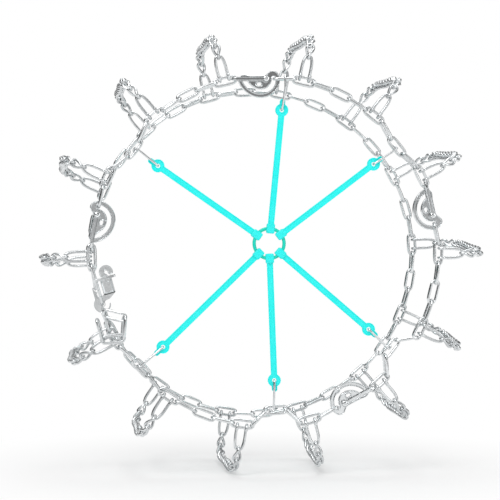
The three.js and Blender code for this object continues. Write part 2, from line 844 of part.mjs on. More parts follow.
function tensionerArm(eyeletDistance, turn) {
  const cut = hubRing(hubCord / 2 + gap);
  cut.rotateY(-turn);
  const half = strapDepth / 2;
  const sleeve = rectangle(-sleeveWidth / 2, sleeveWidth / 2,
    hubRadius - sleeveLength / 2, hubRadius + sleeveLength / 2);
  const strap = rectangle(-strapWidth / 2, strapWidth / 2, hubRadius + hubCord, eyeletDistance);
  const side = tabWidth / 2;
  const end = eyeletDistance + tabReach;
  const tab = polygon([[-side, eyeletDistance], [side, eyeletDistance],
    [side - tabTaper, end], [tabTaper - side, end]]);
  const additions = [
    prism(sleeve, -sleeveDepth / 2, sleeveDepth / 2),
    prism(strap, -half, half),
    prism(tab, -half, half),
    prism(disc(0, eyeletDistance, eyeletRadius), -half, half),
  ];
  return joinAndCut(additions, [cut, prism(disc(0, eyeletDistance, eyeletBore), -half - gap, half + gap)]);
}

function tensionerHook(bay, seat, eyelet) {
  const outward = bayOutward(bay);
  const lean = bay.kind === 'cam' ? 0 : tensionerLeanAngle * degree;
  const sideways = depthwise.clone().cross(outward);
  const forward = sideways.clone().multiplyScalar(Math.sin(lean))
    .addScaledVector(depthwise, -Math.cos(lean));
  const half = tensionerBar / 2;
  const corner = half * (Math.cos(lean) + Math.sin(lean));
  const clear = sideBar / 2 + gap + corner;
  const crown = sideBar / 2 + gap + half;
  const spread = clear / Math.cos(lean);
  const shift = (fromSeat, ahead, out) => fromSeat.clone()
    .addScaledVector(forward, ahead).addScaledVector(outward, out);
  const pull = seat.clone().sub(eyelet).setY(0).normalize();
  const through = strapDepth / 2 + gap + corner;
  const front = eyelet.clone().addScaledVector(depthwise, -through);
  const behind = eyelet.clone().addScaledVector(depthwise, through);
  const points = [
    shift(seat, -spread, -tensionerNose),
    shift(seat, -spread, crown),
    shift(seat, spread, crown),
    ...(bay.kind === 'cam' ? [shift(seat, spread, -camHookStraight)] : []),
    front,
    behind,
    behind.clone().addScaledVector(pull, tensionerTail),
  ];
  return mitredBar(points, tensionerBar, outward.clone().cross(forward));
}

[topCam, ...bays.filter((bay) => bay.kind === 'pulled')].forEach((bay, i) => {
  const seat = hookSeat(bay);
  const level = seat.clone().setY(-sidePlane);
  const setback = tensionerReach + (bay === topCam ? topArmSetback : 0);
  const eyelet = level.clone().addScaledVector(hubMiddle.clone().sub(level).normalize(), setback);
  const reach = eyelet.clone().sub(hubMiddle);
  const turn = Math.atan2(reach.x, reach.z);
  const arm = place(`tensioner_arm_${i + 1}`, tensionerArm(reach.length(), turn), turquoiseRubber, turn);
  arm.position.copy(hubMiddle);
  place(`tensioner_hook_${i + 1}`, tensionerHook(bay, seat, eyelet), zincSide);
});

export default net;
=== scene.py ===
"""A snow chain net in its fitted shape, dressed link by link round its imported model.

Lengths are in millimetres until a piece is finished, and in metres from then on. The frame is
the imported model's: +Z up, the outer side chain towards -Y, origin at the middle of the net.
"""
import json
import logging
import math
import random
from dataclasses import dataclass
from enum import Enum
from typing import Optional, Sequence

import bmesh
import bpy
from mathutils import Matrix, Vector

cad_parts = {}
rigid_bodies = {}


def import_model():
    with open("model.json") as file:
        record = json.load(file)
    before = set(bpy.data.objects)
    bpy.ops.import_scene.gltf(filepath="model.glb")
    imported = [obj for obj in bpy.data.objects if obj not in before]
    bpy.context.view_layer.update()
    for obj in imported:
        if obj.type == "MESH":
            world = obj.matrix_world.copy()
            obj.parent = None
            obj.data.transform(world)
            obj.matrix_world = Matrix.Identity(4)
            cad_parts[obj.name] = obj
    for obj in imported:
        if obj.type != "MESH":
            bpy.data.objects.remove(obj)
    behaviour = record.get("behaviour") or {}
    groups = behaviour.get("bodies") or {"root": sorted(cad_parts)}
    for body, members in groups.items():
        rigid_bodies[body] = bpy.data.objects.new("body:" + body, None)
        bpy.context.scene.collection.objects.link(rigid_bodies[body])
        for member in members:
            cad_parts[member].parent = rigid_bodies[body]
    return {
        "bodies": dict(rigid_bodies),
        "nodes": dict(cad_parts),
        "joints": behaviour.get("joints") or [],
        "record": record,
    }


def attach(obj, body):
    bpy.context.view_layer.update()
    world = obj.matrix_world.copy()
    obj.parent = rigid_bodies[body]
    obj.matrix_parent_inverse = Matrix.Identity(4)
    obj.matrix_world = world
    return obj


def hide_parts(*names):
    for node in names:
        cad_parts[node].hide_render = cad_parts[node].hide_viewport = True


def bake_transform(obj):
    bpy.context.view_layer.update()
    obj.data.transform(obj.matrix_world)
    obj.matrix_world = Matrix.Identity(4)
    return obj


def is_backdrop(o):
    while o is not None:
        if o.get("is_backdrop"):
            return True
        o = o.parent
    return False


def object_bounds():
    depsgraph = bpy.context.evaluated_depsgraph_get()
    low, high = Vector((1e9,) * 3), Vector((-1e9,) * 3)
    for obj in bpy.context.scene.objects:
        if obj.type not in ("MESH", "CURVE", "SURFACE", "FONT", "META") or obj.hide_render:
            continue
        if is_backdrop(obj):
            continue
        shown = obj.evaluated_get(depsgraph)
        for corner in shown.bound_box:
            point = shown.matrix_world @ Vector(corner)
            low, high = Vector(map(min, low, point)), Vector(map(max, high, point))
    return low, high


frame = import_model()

CAD_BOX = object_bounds()
LOG = logging.getLogger("net")

METRES = 0.001
RING_SIDES = 6
CAGE_GROWTH = 3.0 / (2.0 + math.cos(2.0 * math.pi / RING_SIDES))
CROWN_SHARES = ((0.058, 1.05), (0.767, 0.798), (1.1165, 0.0), (0.767, -0.798), (0.058, -1.05))
DEPTH = Vector((0.0, 1.0, 0.0))
LETTERS = "abcdefghijklmn"
# Wire is drawn this much thinner than its stock, and a link's weld this much thicker.
WIRE_EASE = 0.05
WELD_GROWTH = 1.14
RING_REACH = 1.01
# How far a cage bent in 45 degree steps shrinks when it is rounded off.
WRAP_SHRINK = 0.902
MERGE_DISTANCE = 0.001
EDGE_WIDTH = 0.35
RUBBER_EDGE_WIDTH = 0.5
EDGE_ANGLE = 32.0
EDGE_SEGMENTS = 2
HALVINGS = 60
CORNER_STEPS = 4


class Value:
    """A shader value that can stand in a Python sum."""

    def __init__(self, board: "Board", socket: bpy.types.NodeSocket) -> None:
        """Wraps one output socket.

        Args:
            board: The board that holds the socket's node.
            socket: The output socket.
        """
        self.board = board
        self.socket = socket

    def _math(self, operation: str, first: object, second: object) -> "Value":
        """Adds one Math node.

        Args:
            operation: The Math node's operation.
            first: A value or a number.
            second: A value or a number.

        Returns:
            The node's result.
        """
        return self.board.node("ShaderNodeMath", {"operation": operation}, {0: first, 1: second})

    def __add__(self, other: object) -> "Value":
        """Sum."""
        return self._math("ADD", self, other)

    def __radd__(self, other: object) -> "Value":
        """Sum, with a number first."""
        return self._math("ADD", other, self)

    def __sub__(self, other: object) -> "Value":
        """Difference."""
        return self._math("SUBTRACT", self, other)

    def __rsub__(self, other: object) -> "Value":
        """Difference, with a number first."""
        return self._math("SUBTRACT", other, self)

    def __mul__(self, other: object) -> "Value":
        """Product."""
        return self._math("MULTIPLY", self, other)

    def __rmul__(self, other: object) -> "Value":
        """Product, with a number first."""
        return self._math("MULTIPLY", other, self)

    def clamped(self) -> "Value":
        """The value held between zero and one."""
        return self.board.node("ShaderNodeClamp", {}, {"Value": self})


class Board:
    """The node board of one material or world."""

    def __init__(self, tree: bpy.types.NodeTree) -> None:
        """Empties a node tree.

        Args:
            tree: The tree to build in.
        """
        self.tree = tree
        tree.nodes.clear()

    def node(self, kind: str, settings: dict, sockets: dict, output: object = 0) -> Value:
        """Adds a node.

        Args:
            kind: The node's type.
            settings: Its settings, set first. A ramp's stops are given as "stops".
            sockets: Numbers, colours or values for its sockets, by name or place.
            output: The name or place of the output that is wanted.

        Returns:
            That output.
        """
        made = self.tree.nodes.new(kind)
        for name, setting in settings.items():
            if name == "stops":
                while len(made.color_ramp.elements) < len(setting):
                    made.color_ramp.elements.new(0.5)
                for element, (place, colour) in zip(made.color_ramp.elements, setting):
                    element.position = place
                    element.color = (*colour, 1.0)
            else:
                setattr(made, name, setting)
        for name, given in sockets.items():
            if isinstance(given, Value):
                self.tree.links.new(given.socket, made.inputs[name])
            else:
                made.inputs[name].default_value = given
        return Value(self, made.outputs[output])

    def place(self) -> Value:
        """The place on the piece, in metres."""
        return self.node("ShaderNodeTexCoord", {}, {}, "Object")

    def noise(
        self, scale: float, detail: float, stretch: Optional[Sequence[float]] = None
    ) -> Value:
        """Soft random variation over the surface.

        Args:
            scale: Bumps per metre.
            detail: Octaves.
            stretch: Scale along each axis, where it isn't even.

        Returns:
            A value round 0.5.
        """
        where = self.place()
        if stretch is not None:
            where = self.node("ShaderNodeMapping", {}, {"Vector": where, "Scale": tuple(stretch)})
        return self.node("ShaderNodeTexNoise", {}, {"Vector": where, "Scale": scale, "Detail": detail})

    def ramp(self, value: Value, reach: Sequence[float], low: float = 0.0, high: float = 1.0) -> Value:
        """A smooth step from one level to another.

        Args:
            value: What it follows.
            reach: Where the step begins and ends.
            low: The level before it.
            high: The level after it.

        Returns:
            The level.
        """
        start, stop = reach
        return self.node(
            "ShaderNodeMapRange",
            {"interpolation_type": "SMOOTHSTEP"},
            {"Value": value, "From Min": start, "From Max": stop, "To Min": low, "To Max": high},
        )

    def ray(self, kind: str) -> Value:
        """Whether the ray is of one kind, such as Camera."""
        return self.node("ShaderNodeLightPath", {}, {}, f"Is {kind} Ray")

    def attribute(self, name: str) -> Value:
        """A number kept on the mesh."""
        return self.node("ShaderNodeAttribute", {"attribute_name": name}, {}, "Fac")

    def mix(self, share: Value, first: Sequence[float], second: Sequence[float]) -> Value:
        """Two colours mixed by a share."""
        return self.node(
            "ShaderNodeMix",
            {"data_type": "RGBA"},
            {"Factor": share, 6: (*first, 1.0), 7: (*second, 1.0)},
            2,
        )

    def bump(
        self, height: Value, reach: float, strength: float, under: Optional[Value] = None
    ) -> Value:
        """A surface relief.

        Args:
            height: The relief.
            reach: Its depth in metres.
            strength: How strongly it shows.
            under: A relief beneath it.

        Returns:
            The bent normal.
        """
        sockets = {"Height": height, "Distance": reach, "Strength": strength}
        if under is not None:
            sockets["Normal"] = under
        return self.node("ShaderNodeBump", {}, sockets)


class Finish:
    """What a surface is made of."""

    name: str

    def surface(self, board: Board) -> Value:
        """Builds the shader. Each finish has its own.

        Args:
            board: The material's board.

        Returns:
            The shader.
        """
        raise NotImplementedError

    def material(self) -> bpy.types.Material:
        """The Blender material, made once.

        Returns:
            The material with this finish's name.
        """
        known = bpy.data.materials.get(self.name)
        if known is not None:
            return known
        made = bpy.data.materials.new(self.name)
        made.use_nodes = True
        board = Board(made.node_tree)
        shader = self.surface(board)
        output = made.node_tree.nodes.new("ShaderNodeOutputMaterial")
        made.node_tree.links.new(shader.socket, output.inputs["Surface"])
        return made


@dataclass(frozen=True)
class Zinc(Finish):
    """Bright zinc plating: pale metal with a faint bloom, dulled in patches and finely marked."""

    name: str
    bright: tuple[float, float, float]
    dull: tuple[float, float, float]
    smooth: float
    rough: float
    patch: float = 160.0
    grain: float = 1400.0
    relief: float = 0.00005
    stretch: tuple[float, float, float] = (1.0, 0.35, 1.0)
    patch_wear: float = 0.9
    streak_wear: float = 0.35
    tone_wear: float = 0.5
    wear_start: float = 0.45
    streak_rough: float = 0.05
    fine_strength: float = 0.35
    patch_strength: float = 0.3
    patch_relief: float = 4.0

    def surface(self, board: Board) -> Value:
        """Builds the plating.

        Args:
            board: The material's board.

        Returns:
            The shader.
        """
        patches = board.noise(self.patch, 4.0)
        streaks = board.noise(self.grain, 2.0, self.stretch)
        marks = patches * self.patch_wear + streaks * self.streak_wear
        wear = (marks + board.attribute("link_tone") * self.tone_wear - self.wear_start).clamped()
        colour = board.mix(wear, self.bright, self.dull)
        spread = wear * (self.rough - self.smooth)
        roughness = self.smooth + spread + streaks * self.streak_rough
        fine = board.bump(streaks, self.relief, self.fine_strength)
        deep = self.relief * self.patch_relief
        relief = board.bump(patches, deep, self.patch_strength, fine)
        return board.node(
            "ShaderNodeBsdfPrincipled",
            {},
            {"Base Color": colour, "Metallic": 1.0, "Roughness": roughness, "Normal": relief},
        )


@dataclass(frozen=True)
class Rubber(Finish):
    """Moulded coloured rubber: satin, faintly mottled, with a fine skin and a paler bloom."""

    name: str
    colour: tuple[float, float, float]
    bloom: tuple[float, float, float]
    smooth: float = 0.36
    rough: float = 0.52
    mottle: float = 55.0
    skin: float = 2600.0
    contrast: float = 1.6
    threshold: float = 0.5
    skin_relief: float = 0.00001
    skin_strength: float = 0.15
    mottle_relief: float = 0.0002
    mottle_strength: float = 0.1
    specular: float = 0.4

    def surface(self, board: Board) -> Value:
        """Builds the rubber.

        Args:
            board: The material's board.

        Returns:
            The shader.
        """
        mottle = board.noise(self.mottle, 4.0)
        skin = board.noise(self.skin, 2.0)
        share = (mottle * self.contrast - self.threshold).clamped()
        colour = board.mix(share, self.colour, self.bloom)
        roughness = self.smooth + share * (self.rough - self.smooth)
        fine = board.bump(skin, self.skin_relief, self.skin_strength)
        relief = board.bump(mottle, self.mottle_relief, self.mottle_strength, fine)
        return board.node(
            "ShaderNodeBsdfPrincipled",
            {},
            {
                "Base Color": colour,
                "Roughness": roughness,
                "Specular IOR Level": self.specular,
                "Normal": relief,
            },
        )


class Finishes(Enum):
    """The finishes of this net, each with the record's slot that it stands for."""

    SIDE_WIRE = Zinc("plated_side_wire", (0.84, 0.86, 0.87), (0.50, 0.52, 0.53), 0.14, 0.30)
    CROSS_WIRE = Zinc("plated_cross_wire", (0.82, 0.84, 0.85), (0.46, 0.48, 0.49), 0.16, 0.34)
    PRESSED_PLATE = Zinc(
        "plated_pressing", (0.86, 0.88, 0.89), (0.62, 0.64, 0.65), 0.12, 0.24, 70.0, 900.0
    )
    TURQUOISE = Rubber("moulded_turquoise", (0.012, 0.90, 0.86), (0.045, 0.94, 0.91))
    GREEN = Rubber("moulded_green", (0.0, 0.66, 0.50), (0.02, 0.74, 0.58))

    @property
    def slot(self) -> str:
        """The record's material slot."""
        return {
            "SIDE_WIRE": "zinc_side",
            "CROSS_WIRE": "zinc_cross",
            "PRESSED_PLATE": "zinc_plate",
            "TURQUOISE": "turquoise_rubber",
            "GREEN": "green_rubber",
        }[self.name]


class Rounding(Enum):
    """How a piece's mesh is rounded off."""

    NONE = "none"
    SUBDIVIDE = "subdivide"
    BEVEL = "bevel"


class Kind(Enum):
    """What spans a bay of the outer side chain, from one station link to the next."""

    PLAIN = "plain"
    PULLED = "pulled"
    CAM = "cam"
    FASTENER = "fastener"


@dataclass
class Bay:
    """One bay of the outer side chain, after the station link of the same letter."""

    kind: Kind
    pull: float = 0.0
    station_start: float = 0.0
    start: float = 0.0
    end: float = 0.0
    half: float = 0.0
    distance: float = 0.0

    @property
    def station(self) -> float:
        """The angle of the station link's middle."""
        return (self.station_start + self.start) / 2.0

    @property
    def middle(self) -> float:
        """The angle of the bay's middle."""
        return (self.start + self.end) / 2.0

    @property
    def outward(self) -> Vector:
        """Away from the net's middle."""
        return Vector((math.sin(self.middle), 0.0, math.cos(self.middle)))

    def frame(self, along: float, depth: float) -> Matrix:
        """The frame of a piece that sits on the bay's chord.

        Args:
            along: How far along the chord from its middle.
            depth: Its place on the Y axis.

        Returns:
            The matrix from the piece's own axes to the net's.
        """
        place = Matrix.Translation(self.point(along, 0.0, depth))
        return place @ Matrix.Rotation(self.middle, 4, "Y")

    def point(self, along: float, inward: float, depth: float) -> Vector:
        """A point by the bay's chord.

        Args:
            along: How far along the chord from its middle.
            inward: How far inward from the chord.
            depth: Its place on the Y axis.

        Returns:
            The point in the net's frame.
        """
        turned = Matrix.Rotation(self.middle, 3, "Y")
        return turned @ Vector((along, depth, self.distance - inward))


@dataclass
class Plan:
    """The net's sizes, and the paths of its chains worked out from them as the solids' are."""

    drum_radius: float = 402.0
    drum_half_width: float = 88.0
    shoulder_drop: float = 6.0
    shoulder_depth: float = 122.0
    side_plane: float = 136.0
    first_station: float = 12.5
    side_wire: float = 5.5
    cross_wire: float = 5.5
    link_play: float = 1.4
    side_pitch: float = 36.5
    side_spread: float = 6.75
    cross_spread: float = 6.4
    cross_links: int = 13
    hook_length: float = 40.0
    rod_clearance: float = 10.2
    cam_reach: float = 14.6
    cam_turn: float = 128.0
    cam_swing: float = 45.0
    cam_band: float = 8.0
    running_gap: float = 0.35
    long_link: float = 76.0
    latch_wall: float = 1.6
    inner_count: int = 56
    inner_runs: int = 5
    inner_stride: int = 4
    inner_first: float = 2.5

    def __post_init__(self) -> None:
        """Works out the derived sizes and the bays."""
        self.bar = self.side_wire * math.sqrt(math.pi) / 2.0
        self.crown_step = (self.bar + self.link_play) / 2.0
        self.slot_half = self.bar * math.sqrt(0.5) + self.running_gap
        self.crown_length = self.side_pitch + self.bar
        self.throat_radius = 2.0 * self.slot_half + self.latch_wall
        self.over_drum = self.drum_radius + self.cross_spread + self.bar / 2.0
        nearest = min(x for x, _ in self.slot_line(10))
        self.rod_length = self.slot_half + self.cam_band - nearest + self.rod_clearance
        plain, cam = Kind.PLAIN, Kind.CAM
        kinds = (
            (plain, 0.0), (Kind.PULLED, 6.0), (cam, 0.0), (plain, 0.0), (Kind.PULLED, 25.0), (cam, 0.0),
            (Kind.PULLED, 25.0), (plain, 0.0), (Kind.PULLED, 3.0), (Kind.FASTENER, 0.0), (cam, 0.0),
            (Kind.PULLED, 9.5), (plain, 0.0), (cam, 0.0),
        )
        self.bays = [Bay(kind, pull) for kind, pull in kinds]
        self.radius = self._closing_radius()
        self._set_out()
        self.inner_radius = self.side_pitch / (2.0 * math.sin(math.pi / self.inner_count))
        self.inner_step = 2.0 * math.pi / self.inner_count
        self.inner_start = self.bays[self.fastener_index].middle - self.inner_step / 2.0

    @property
    def fastener_index(self) -> int:
        """The place of the fastener's bay."""
        return [bay.kind for bay in self.bays].index(Kind.FASTENER)

    def slot_line(self, steps: int) -> list[tuple[float, float]]:
        """The middle of a cam's slot, seen from its rivet.

        Args:
            steps: How many steps it is drawn in.

        Returns:
            Points along and outward.
        """
        line = []
        for k in range(steps + 1):
            turned = math.radians(self.cam_turn) * k / steps
            swing = math.radians(self.cam_swing) * k / steps
            x = self.cam_reach + self.crown_length * (1.0 - math.cos(swing))
            z = -self.crown_length * math.sin(swing)
            line.append((
                x * math.cos(turned) + z * math.sin(turned),
                z * math.cos(turned) - x * math.sin(turned),
            ))
        return line

    def _chords(self, bay: Bay) -> list[float]:
        """The chords that a bay is made of."""
        if bay.kind is Kind.CAM:
            return [self.rod_length + self.cam_reach + self.crown_length - 2.0 * self.crown_step]
        if bay.kind is Kind.FASTENER:
            return [self.side_pitch + self.throat_radius + self.long_link]
        if bay.kind is Kind.PULLED:
            return [self.side_pitch + 2.0 * math.sqrt(self.side_pitch**2 - bay.pull**2)]
        return [self.side_pitch] * 3

    def _closing_radius(self) -> float:
        """The radius at which all the chords close into one ring."""
        chords = [chord for bay in self.bays for chord in (self.side_pitch, *self._chords(bay))]
        low, high = self.drum_radius / 2.0, self.drum_radius
        for _ in range(HALVINGS):
            middle = (low + high) / 2.0
            if sum(math.asin(chord / (2.0 * middle)) for chord in chords) > math.pi:
                low = middle
            else:
                high = middle
        return low

    def _set_out(self) -> None:
        """Gives every bay its angles."""
        link = math.asin(self.side_pitch / (2.0 * self.radius))
        angle = math.radians(self.first_station) - link
        for bay in self.bays:
            bay.station_start = angle
            bay.start = angle + 2.0 * link
            turned = sum(2.0 * math.asin(chord / (2.0 * self.radius)) for chord in self._chords(bay))
            angle = bay.end = bay.start + turned
            bay.half = self.radius * math.sin(turned / 2.0)
            bay.distance = self.radius * math.cos(turned / 2.0)

    def rivet_along(self, bay: Bay) -> float:
        """How far along its bay's chord a cam's rivet is."""
        return self.rod_length - self.crown_step - bay.half

    def pivot_along(self, bay: Bay) -> float:
        """How far along its bay's chord the lever's pivot is."""
        return self.side_pitch + self.crown_step + self.throat_radius - bay.half

    def joints(self, bay: Bay) -> list[Vector]:
        """The joints between the links of a bay of three links.

        Args:
            bay: The bay.

        Returns:
            Its two inner joints.
        """
        if bay.kind is Kind.PULLED:
            half = self.side_pitch / 2.0
            return [bay.point(side * half, bay.pull, -self.side_plane) for side in (-1.0, 1.0)]
        step = (bay.end - bay.start) / 3.0
        return [ring_point(bay.start + k * step, self.radius, -self.side_plane) for k in (1, 2)]

    def inner_angle(self, index: float) -> float:
        """The angle of a joint of the inner side chain."""
        return self.inner_start + index * self.inner_step

    def named_cams(self) -> list[tuple[int, Bay]]:
        """The cams' numbers and bays, from the top one on."""
        cams = [bay for bay in self.bays if bay.kind is Kind.CAM]
        return list(enumerate((cams[-1], *cams[:-1]), start=1))


def ring_point(angle: float, radius: float, depth: float) -> Vector:
    """A point round the net's axis.

    Args:
        angle: Clockwise from the top, seen from the front.
        radius: Distance from the axis.
        depth: Its place on the Y axis.

    Returns:
        The point.
    """
    return Vector((radius * math.sin(angle), depth, radius * math.cos(angle)))


def soften(piece: bpy.types.Object, width: float) -> None:
    """Rounds off the sharp edges of a piece.

    Args:
        piece: The piece.
        width: How wide the rounding is.
    """
    rounder = piece.modifiers.new("edges", "BEVEL")
    rounder.width = width * METRES
    rounder.segments = EDGE_SEGMENTS
    rounder.limit_method = "ANGLE"
    rounder.angle_limit = math.radians(EDGE_ANGLE)
    rounder.harden_normals = True


class Workpiece:
    """A mesh in the making, finished into one piece of the scene."""

    def __init__(self, name: str) -> None:
        """Starts an empty piece.

        Args:
            name: The piece's name.
        """
        self.name = name
        self.mesh = bmesh.new()
        self.tone = self.mesh.verts.layers.float.new("link_tone")

    def add(self, part: bmesh.types.BMesh, frame: Matrix, tone: float = 0.5) -> None:
        """Takes a part in, placed and toned.

        Args:
            part: The part. It is freed.
            frame: The matrix that places it.
            tone: Its share of dullness.
        """
        layer = part.verts.layers.float.get("link_tone") or part.verts.layers.float.new("link_tone")
        for vert in part.verts:
            vert[layer] = tone
        bmesh.ops.transform(part, matrix=frame, verts=part.verts[:])
        bmesh.ops.recalc_face_normals(part, faces=part.faces[:])
        carrier = bpy.data.meshes.new("carrier")
        part.to_mesh(carrier)
        part.free()
        self.mesh.from_mesh(carrier)
        bpy.data.meshes.remove(carrier)

    def finish(
        self, finish: Finishes, body: str, nodes: Sequence[str], rounding: Rounding
    ) -> bpy.types.Object:
        """Makes the piece: metres, material, modifiers, and what it rides on.

        Args:
            finish: Its finish.
            body: The body that it rides on, or nothing, which leaves it unattached.
            nodes: The nodes that it stands for.
            rounding: How its mesh is rounded off.

        Returns:
            The piece.
        """
        bmesh.ops.scale(self.mesh, vec=(METRES, METRES, METRES), verts=self.mesh.verts[:])
        data = bpy.data.meshes.new(self.name)
        self.mesh.to_mesh(data)
        self.mesh.free()
        data.polygons.foreach_set("use_smooth", [True] * len(data.polygons))
        data.materials.append(finish.value.material())
        piece = bpy.data.objects.new(self.name, data)
        bpy.context.scene.collection.objects.link(piece)
        if rounding is Rounding.SUBDIVIDE:
            rounder = piece.modifiers.new("rounding", "SUBSURF")
            rounder.levels = rounder.render_levels = 1
        if rounding is Rounding.BEVEL:
            soften(piece, EDGE_WIDTH)
        if body:
            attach(piece, body)
        if nodes:
            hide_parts(*nodes)
        LOG.info("%s: %d faces, rides on %s", self.name, len(data.polygons), body)
        return piece


@dataclass(frozen=True)
class Wire:
    """Round wire laid along a path as coarse rings, which one subdivision rounds off."""

    radius: float

    def lay(
        self, path: Sequence[Vector], closed: bool, swell: Optional[dict] = None
    ) -> bmesh.types.BMesh:
        """Lays the wire.

        Args:
            path: The cage points of its middle line.
            closed: Whether it joins up.
            swell: Growth of the ring at some places of the path, such as a weld.

        Returns:
            The wire's mesh.
        """
        mesh = bmesh.new()
        headings = self._headings(path, closed)
        start = Matrix.Translation(path[0]) @ headings[0].to_track_quat("Z", "Y").to_matrix().to_4x4()
        bmesh.ops.create_circle(
            mesh, cap_ends=False, segments=RING_SIDES, radius=self.radius * CAGE_GROWTH, matrix=start
        )
        first = ring = mesh.edges[:]
        for i in range(1, len(path)):
            grown = bmesh.ops.extrude_edge_only(mesh, edges=ring)["geom"]
            verts = [item for item in grown if isinstance(item, bmesh.types.BMVert)]
            fresh = set(verts)
            near = dict.fromkeys(edge for vert in verts for edge in vert.link_edges)
            ring = [edge for edge in near if set(edge.verts) <= fresh]
            turn = headings[i - 1].rotation_difference(headings[i]).to_matrix()
            bmesh.ops.rotate(mesh, verts=verts, cent=path[i - 1], matrix=turn)
            bmesh.ops.translate(mesh, verts=verts, vec=path[i] - path[i - 1])
        reach = self.radius * CAGE_GROWTH * RING_REACH
        for i, growth in (swell or {}).items():
            near = [v for v in mesh.verts if (v.co - path[i]).length < reach]
            space = Matrix.Translation(-path[i])
            bmesh.ops.scale(mesh, vec=(growth, growth, growth), space=space, verts=near)
        if closed:
            bmesh.ops.bridge_loops(mesh, edges=first + ring)
        else:
            bmesh.ops.edgeloop_fill(mesh, edges=first)
            bmesh.ops.edgeloop_fill(mesh, edges=ring)
        return mesh

    @staticmethod
    def _headings(path: Sequence[Vector], closed: bool) -> list[Vector]:
        """The wire's heading at each point of its path."""
        last = len(path) - 1
        headings = []
        for i, point in enumerate(path):
            before = path[i - 1] if closed or i > 0 else point
            after = path[(i + 1) % len(path)] if closed or i < last else point
            arriving = (point - before).normalized()
            leaving = (after - point).normalized()
            headings.append((arriving + leaving).normalized())
        return headings


@dataclass(frozen=True)
class ClosedLink:
    """An oval link of bent and welded wire."""

    wire: float
    spread: float

    def path(self, start: Vector, stop: Vector, width: Vector, twist: float = 0.0) -> list[Vector]:
        """The cage points of the link's middle line.

        Args:
            start: The middle of its first crown's wire.
            stop: The middle of its last crown's wire.
            width: The way that its first crown spreads.
            twist: How far its last crown is turned from its first, in radians.

        Returns:
            The points, all the way round.
        """
        heading = (stop - start).normalized()
        across = (width - heading * width.dot(heading)).normalized()
        middle = (start + stop) / 2.0
        reach = (stop - start).length / 2.0 - self.spread
        turned = Matrix.Rotation(twist, 3, heading) @ across
        shares = (1.0 / 3.0, 2.0 / 3.0) if twist else (0.5,)
        points = [
            middle + heading * (reach + self.spread * ahead) + turned * (self.spread * aside)
            for ahead, aside in CROWN_SHARES
        ]
        for share in shares:
            way = Matrix.Rotation(twist * (1.0 - share), 3, heading) @ across
            points.append(middle + heading * reach * (1.0 - 2.0 * share) - way * self.spread)
        points += [
            middle - heading * (reach + self.spread * ahead) - across * (self.spread * aside)
            for ahead, aside in CROWN_SHARES
        ]
        for share in shares:
            way = Matrix.Rotation(twist * share, 3, heading) @ across
            points.append(middle - heading * reach * (1.0 - 2.0 * share) + way * self.spread)
        return points

    def bend(self, start: Vector, stop: Vector, width: Vector, twist: float = 0.0) -> bmesh.types.BMesh:
        """Bends the link.

        Args:
            start: The middle of its first crown's wire.
            stop: The middle of its last crown's wire.
            width: The way that its first crown spreads.
            twist: How far its last crown is turned from its first, in radians.

        Returns:
            The link's mesh.
        """
        weld = {} if twist else {len(CROWN_SHARES): WELD_GROWTH}
        return Wire(self.wire / 2.0 - WIRE_EASE).lay(self.path(start, stop, width, twist), True, weld)


@dataclass
class SideChains:
    """The outer side chain between its cams and fastener, and the closed inner side chain."""

    plan: Plan
    lean: float = 17.0

    def _run(
        self, name: str, node: str, points: list[Vector], first_flat: bool, stations: set[int]
    ) -> None:
        """Makes one length of chain.

        Args:
            name: The piece's name.
            node: The node that it stands for.
            points: Its joints.
            first_flat: Whether its first link lies flat.
            stations: The places of the links that carry cross chains.
        """
        dice = random.Random(node)
        piece = Workpiece(name)
        link = ClosedLink(self.plan.side_wire, self.plan.side_spread)
        for i, (start, stop) in enumerate(zip(points, points[1:])):
            heading = (stop - start).normalized()
            outward = heading.cross(DEPTH).normalized()
            flat = (i % 2 == 0) == first_flat
            lean = 0.0 if i in stations else math.radians(dice.uniform(-self.lean, self.lean))
            width = Matrix.Rotation(lean, 3, heading) @ (outward if flat else DEPTH)
            reach = heading * (self.plan.side_wire / 2.0)
            piece.add(link.bend(start - reach, stop + reach, width), Matrix(), dice.random())
        piece.finish(Finishes.SIDE_WIRE, "net", [node], Rounding.SUBDIVIDE)

    def build_outer(self) -> None:
        """Builds the lengths of the outer side chain."""
        plan = self.plan
        count = len(plan.bays)
        first = [bay.kind for bay in plan.bays].index(Kind.CAM) + 1
        stop = first + count
        while first < stop:
            points, stations, letters, k = [], set(), [], first
            while True:
                bay = plan.bays[k % count]
                stations.add(len(points))
                letters.append(LETTERS[k % count])
                points.append(ring_point(bay.station_start, plan.radius, -plan.side_plane))
                points.append(ring_point(bay.start, plan.radius, -plan.side_plane))
                k += 1
                if bay.kind not in (Kind.PLAIN, Kind.PULLED):
                    break
                points.extend(plan.joints(bay))
            if bay.kind is Kind.FASTENER:
                points.append(bay.point(plan.side_pitch - bay.half, 0.0, -plan.side_plane))
            ends = letters[0] if len(letters) == 1 else f"{letters[0]}_to_{letters[-1]}"
            self._run(f"outer_links_{ends}", f"outer_chain_{ends}", points, True, stations)
            first = k

    def build_inner(self) -> None:
        """Builds the lengths of the inner side chain."""
        plan = self.plan
        for run in range(plan.inner_runs):
            first = 1 + run * (plan.inner_count - 1) // plan.inner_runs
            last = 1 + (run + 1) * (plan.inner_count - 1) // plan.inner_runs
            points = [
                ring_point(plan.inner_angle(k), plan.inner_radius, plan.side_plane)
                for k in range(first, last + 1)
            ]
            carried = int(plan.inner_first)
            stations = {k - first for k in range(first, last) if k % plan.inner_stride == carried}
            name, node = f"inner_links_{run + 1}", f"inner_chain_{run + 1}"
            self._run(name, node, points, first % 2 == 0, stations)


